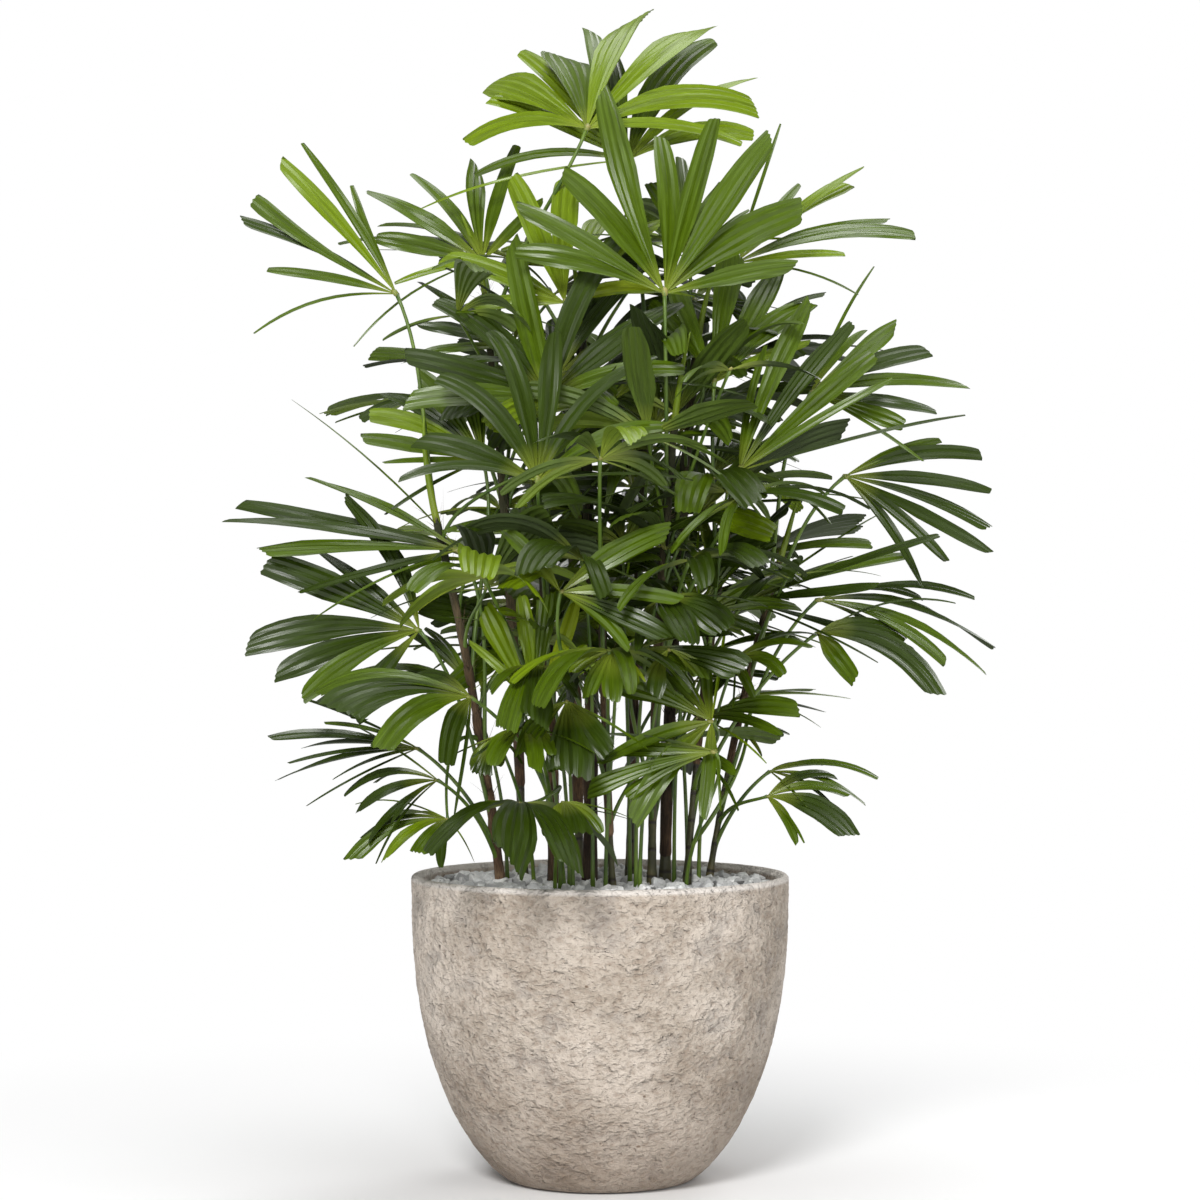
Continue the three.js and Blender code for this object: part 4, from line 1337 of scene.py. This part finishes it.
# %% [markdown]
# ## Stalks and hubs
#
# A stalk is a smooth green rod, a little flat, that thickens at its foot where the sheath holds
# it. It ends in the hub, a pale knot from which all the leaflets part. The rod form is bent along
# each stalk's line, and a squashed ball makes the knot.

# %% Stalks
stalk_form = rod_form(8, 16)
stalks = Heap()


def lay_stalk(frond):
    def radius_at(share, angle):
        swell = 1.1 * np.exp(-(share / 0.05) ** 2) + 0.7 * np.exp(-((1 - share) / 0.03) ** 2)
        slim = 0.9 if frond["node"] else 0.78
        flat = 1 + 0.12 * np.cos(2 * angle)
        return (blend_between(STALK["foot"], STALK["head"], share) * flat + swell) * slim

    lay_rod(stalks, stalk_form, frond["line"], radius_at, 1 / math.tau, 0.25)


for frond in fronds + inner:
    lay_stalk(frond)

# %% Hubs
HUB = {"of_length": 0.009, "least": 0.8, "axes": (2.4, 1.5, 0.9)}

hub_bm = bmesh.new()
bmesh.ops.create_icosphere(hub_bm, subdivisions=1, radius=1)
hub_form = Form(hub_bm)
hubs = Heap()
for frond in fronds + inner:
    size = HUB["of_length"] * frond["length"] + HUB["least"]
    sizes = np.array(HUB["axes"]) * size
    directions = np.array([frond["axis"], frond["side"], frond["up"]])
    points = frond["hub"] + frond["axis"] * size * 0.8 + (hub_form.points * sizes) @ directions
    hubs.add(hub_form, points, 0, 0)



# %% Spears
def spear_radius(share, angle):
    return (3.6 * (1 - share) ** 0.6 + 0.5) * (1 + 0.35 * np.cos(2 * angle))


SPEAR = rod_form(6, 12)
SPEAR_FROM = 0.96  # the share of the cane's height at which it starts
SPEAR_LENGTH = (90, 160)

spears = Heap()
for number, cane in enumerate(CANES):
    draw = random_from(SEEDS["spear"] + number)
    line = cane_line(cane)
    start, way = line.at(SPEAR_FROM), line.along(SPEAR_FROM)
    length = blend_between(*SPEAR_LENGTH, draw())
    lean = np.array([draw() - 0.5, draw() - 0.5, 0]) * 0.35
    spear = Line(start, start + way * length * 0.6, start + (way + lean) * length)
    lay_rod(spears, SPEAR, spear, spear_radius, 0.002, length * MM)

# %% [markdown]
# ## The leaflets
#
# A leaflet is a long blade with a few lengthwise folds. It is narrow at the hub, widest about
# its middle, and ends as if bitten off, with a small tooth at each fold. It could be a plane with
# an image of a leaf on it, but an image fails from close up and in the outline. So one closed
# strip is made for each number of folds, two skins that meet in a sharp rim, and arrays bend it
# along every leaflet's middle line, with its own folds, trough, twist and bite.

# %% The leaflet forms
LEAF_SHARES = np.array([
    0.015, 0.05, 0.1, 0.16, 0.23, 0.31, 0.4, 0.5, 0.6, 0.7, 0.79, 0.87, 0.93, 0.97, 1.0
])
LEAF_ROWS = len(LEAF_SHARES) - 1


def leaflet_form(folds):
    """A flat strip with an upper skin of kind 0 and an underside of kind 1."""
    bm = bmesh.new()
    bmesh.ops.create_grid(bm, x_segments=2 * folds, y_segments=LEAF_ROWS, size=1)
    copy = bmesh.ops.duplicate(bm, geom=bm.verts[:] + bm.edges[:] + bm.faces[:])["geom"]
    under = [part for part in copy if isinstance(part, bmesh.types.BMFace)]
    under_verts = {part for part in copy if isinstance(part, bmesh.types.BMVert)}
    bmesh.ops.reverse_faces(bm, faces=under)
    for face in under:
        face.material_index = 1
    rim = {vert for vert in bm.verts if max(abs(vert.co.x), abs(vert.co.y)) > 0.999}
    for vert in bm.verts:
        vert.co.z = 0 if vert in rim else -1 if vert in under_verts else 1
    bmesh.ops.remove_doubles(bm, verts=bm.verts, dist=1e-4)
    for edge in bm.edges:
        on_rim = all(abs(vert.co.z) < 0.5 for vert in edge.verts)
        is_crease = abs(edge.verts[0].co.x - edge.verts[1].co.x) < 0.01
        edge.smooth = not (on_rim or is_crease)
    return Form(bm)


MOST_FOLDS = 5
FOLD_WIDTH = 7.5  # millimetres of leaflet to a fold
THREAD_WIDTH = 5  # a leaflet under this width has one fold
leaflet_forms = {folds: leaflet_form(folds) for folds in range(1, MOST_FOLDS + 1)}


# %% Bending a leaflet into place
BROAD = 1.18  # how much broader a real leaflet is than the CAD's plain blade
LEAF = {"fold": 0.46, "fade": 0.34, "trough": 0.34, "cup": 0.35, "skin": 0.22}
LEAF |= {"twist": 1.7, "sway": 0.08, "slant": 1.9}


def half_width(leaf, share):
    rising = 1 - 0.72 * (1 - np.minimum(1, share / 0.5)) ** 1.6
    blunt = 1 - leaf["taper"] * np.clip((share - 0.8) / 0.2, 0, 1) ** 1.6
    full = BROAD * leaf["width"] / 2 * rising * (1 - 0.12 * share ** 2) * blunt
    return np.minimum(full, 0.5 * leaf["room"] * share * leaf["length"] + 0.25)


def along_steps(values, share):
    steps = np.arange(LEAF_STEPS + 1) / LEAF_STEPS
    return np.stack([np.interp(share, steps, values[:, axis]) for axis in range(3)], axis=1)


def lay_leaflet(heap, frond, leaf, draw):
    folds = int(np.clip(round(leaf["width"] / FOLD_WIDTH), 2, MOST_FOLDS))
    folds = 1 if leaf["width"] < THREAD_WIDTH else folds
    form = leaflet_forms[folds]
    leaf["taper"] = 0.1 + 0.35 * draw() if leaf["width"] > 14 else 0.45
    column = form.points[:, 0]
    share = LEAF_SHARES[np.rint((form.points[:, 1] + 1) / 2 * LEAF_ROWS).astype(int)]
    points, runs = middle_line(frond, leaf, leaf["swing"], leaf["cut"])
    run = unit(along_steps(runs, share))
    across = fan_direction(frond, leaf["angle"] + math.pi / 2)
    right = unit(across - run * (run @ across)[:, None])
    top = np.cross(run, right)
    turn = (LEAF["twist"] * (draw() - 0.5) * share ** 1.5)[:, None]
    right, top = (
        right * np.cos(turn) + top * np.sin(turn),
        top * np.cos(turn) - right * np.sin(turn),
    )
    half = half_width(leaf, share)
    ridge = np.where(np.rint((column + 1) * folds) % 2 == 0, 1.0, -1.0)
    fold = ridge * half / folds * (LEAF["fold"] - LEAF["fade"] * share)
    trough = np.abs(column) * half * (LEAF["trough"] * (1 - share) + 0.1 * draw())
    cup = -LEAF["cup"] * draw() * column ** 2 * half * share
    sway = LEAF["sway"] * (draw() - 0.5) * leaf["length"] * np.sin(math.pi * share)
    bitten = np.clip((share - 0.9) / 0.1, 0, 1) ** 2
    slant = LEAF["slant"] * (draw() - 0.5)
    bite = bitten * half * (slant * column - 0.08 * ridge - 0.15 * np.abs(column))
    height = fold + trough + cup + LEAF["skin"] * form.points[:, 2]
    points = (
        along_steps(points, share)
        + right * (column * half + sway)[:, None]
        + top * height[:, None]
        + run * bite[:, None]
    )
    shift = 2.5 * draw()
    heap.add(form, points, column * half * MM + shift, share * leaf["length"] * MM)


# %% Dealing the leaflets to the tints
THREADLESS = 0.45  # share of the fans' two sides that have no thread
CAD_MARGIN = 8  # millimetres that a leaflet's tip may reach past the CAD's box
TINTS = {"d": "deep", "m": "mid", "f": "fresh", "y": "yellowish"}
TINT_DEAL = {"d": "ddddddddmm", "m": "mmmmmmmddf", "f": "ffffffmmyf", "y": "yyyyyyyfff"}
leaf_heaps = {letter: Heap() for letter in TINTS}
nodes_of_tint = {letter: set() for letter in TINTS}


def threads_of(frond, draw):
    """Now and then the outermost leaflets are no more than a thread."""
    made = []
    for side in (-1, 1):
        if draw() < THREADLESS:
            continue
        angle = side * (math.radians(frond["spread"]) / 2 + 0.1 + 0.3 * draw())
        made.append({"angle": angle, "room": 1.0, "length": frond["length"] * (0.7 + 0.5 * draw()),
                     "width": 2.4 + 1.6 * draw(), "droop": 0.15 + 0.5 * draw(), "lift": 0.0,
                     "swing": 10 * (draw() - 0.5), "cut": 1, "grows": True})
    return made


def within_cad(point):
    low, high = np.array(cad_low) / MM - CAD_MARGIN, np.array(cad_high) / MM + CAD_MARGIN
    return bool(np.all((low < point) & (point < high)))


for frond in fronds + inner:
    draw = random_from(frond["seed"] * BEND_STREAM[0] + BEND_STREAM[1])
    if frond["node"]:
        nodes_of_tint[frond["tint"]].add(frond["node"])
    for leaf in frond["leaves"] + threads_of(frond, draw):
        letter = TINT_DEAL[frond["tint"]][int(10 * draw())]
        if leaf["grows"] and within_cad(middle_points(frond, leaf)[-1]):
            lay_leaflet(leaf_heaps[letter], frond, leaf, draw)

# %% [markdown]
# Leaf green is never one green. Each tint is a plain base colour, dealt out leaflet by leaflet,
# and only small things vary inside it: fine veins, a slightly darker or paler streak, and a duller
# underside. The tints are partly the leaves' own greens and partly painted light: the deep one
# paints shade inside the crown, and the fresh and yellowish ones paint light shining through a
# leaflet. The gloss is the shader's own roughness, broken a little by fine ribs.

# %% Finish of the leaflets
# The tints are partly the leaves' own greens and partly painted light: deep paints shade, fresh
# and yellowish paint light shining through.
TINT_COLOURS = {
    "d": (0.024, 0.044, 0.001),
    "m": (0.058, 0.100, 0.001),
    "f": (0.128, 0.196, 0.002),
    "y": (0.220, 0.290, 0.008),
}
LEAF_BASE = (0.22, 0.27, 0.03)  # the pale green at the hub


def leaf_finish(name, colour, roughness):
    finish, shader = new_finish(name, Roughness=roughness, Specular_IOR_Level=0.36)
    across = place_on_marks(finish, (1, 0.03, 1))
    veins = noise_of(finish, across, 900, detail=2, roughness=0.7)
    ribs = noise_of(finish, across, 420, detail=1)
    streaks = noise_of(finish, place_on_marks(finish, (1, 0.05, 1)), 170, detail=2)
    dark = tuple(0.62 * part for part in colour)
    pale = tuple(1.6 * part + 0.006 for part in colour)
    over = [(streaks, (0.34, 0.8), (0.54, 0), dark), (veins, (0.54, 0), (0.70, 0.6), pale)]
    tone = layered(finish, colour, *over)
    from_hub = axis_of(finish, place_on_marks(finish), "Y")
    base_share = ranged(finish, from_hub, (0.004, 0.045), (0.75, 0.0))
    tone = mixed(finish, base_share, tone, LEAF_BASE)
    wire(finish, tone, shader, "Base Color")
    raise_by(finish, shader, (ribs, 0.0004))
    return finish


frond_nodes = sorted(trees)
for letter, word in TINTS.items():
    colour = TINT_COLOURS[letter]
    under = tuple(0.9 * part + 0.008 for part in colour)
    top_finish = leaf_finish(f"leaf_{word}", colour, 0.34)
    under_finish = leaf_finish(f"leaf_{word}_under", under, 0.55)
    piece = piece_of_heap(f"leaflets_{word}", leaf_heaps[letter])
    keep(piece, "frond", [top_finish, under_finish], *sorted(nodes_of_tint[letter]))

STALK_GREENS = [(0.3, (0.04, 0.085, 0.008)), (0.7, (0.12, 0.19, 0.02))]
KNOT_TONES = [(0.35, (0.13, 0.19, 0.02)), (0.65, (0.27, 0.24, 0.07))]
stalk_green = mottled("stalk_green", 0.42, 50, *STALK_GREENS, detail=2, stretch=(1, 1, 0.3))[0]
keep(piece_of_heap("stalks", stalks), "frond", [stalk_green], *frond_nodes)
knot = mottled("hub_pale", 0.5, 120, *KNOT_TONES, detail=2)[0]
keep(piece_of_heap("hubs", hubs), "frond", [knot], *frond_nodes)
spear_green = leaf_finish("spear_green", TINT_COLOURS["f"], 0.45)
keep(piece_of_heap("spears", spears), "frond", [spear_green])
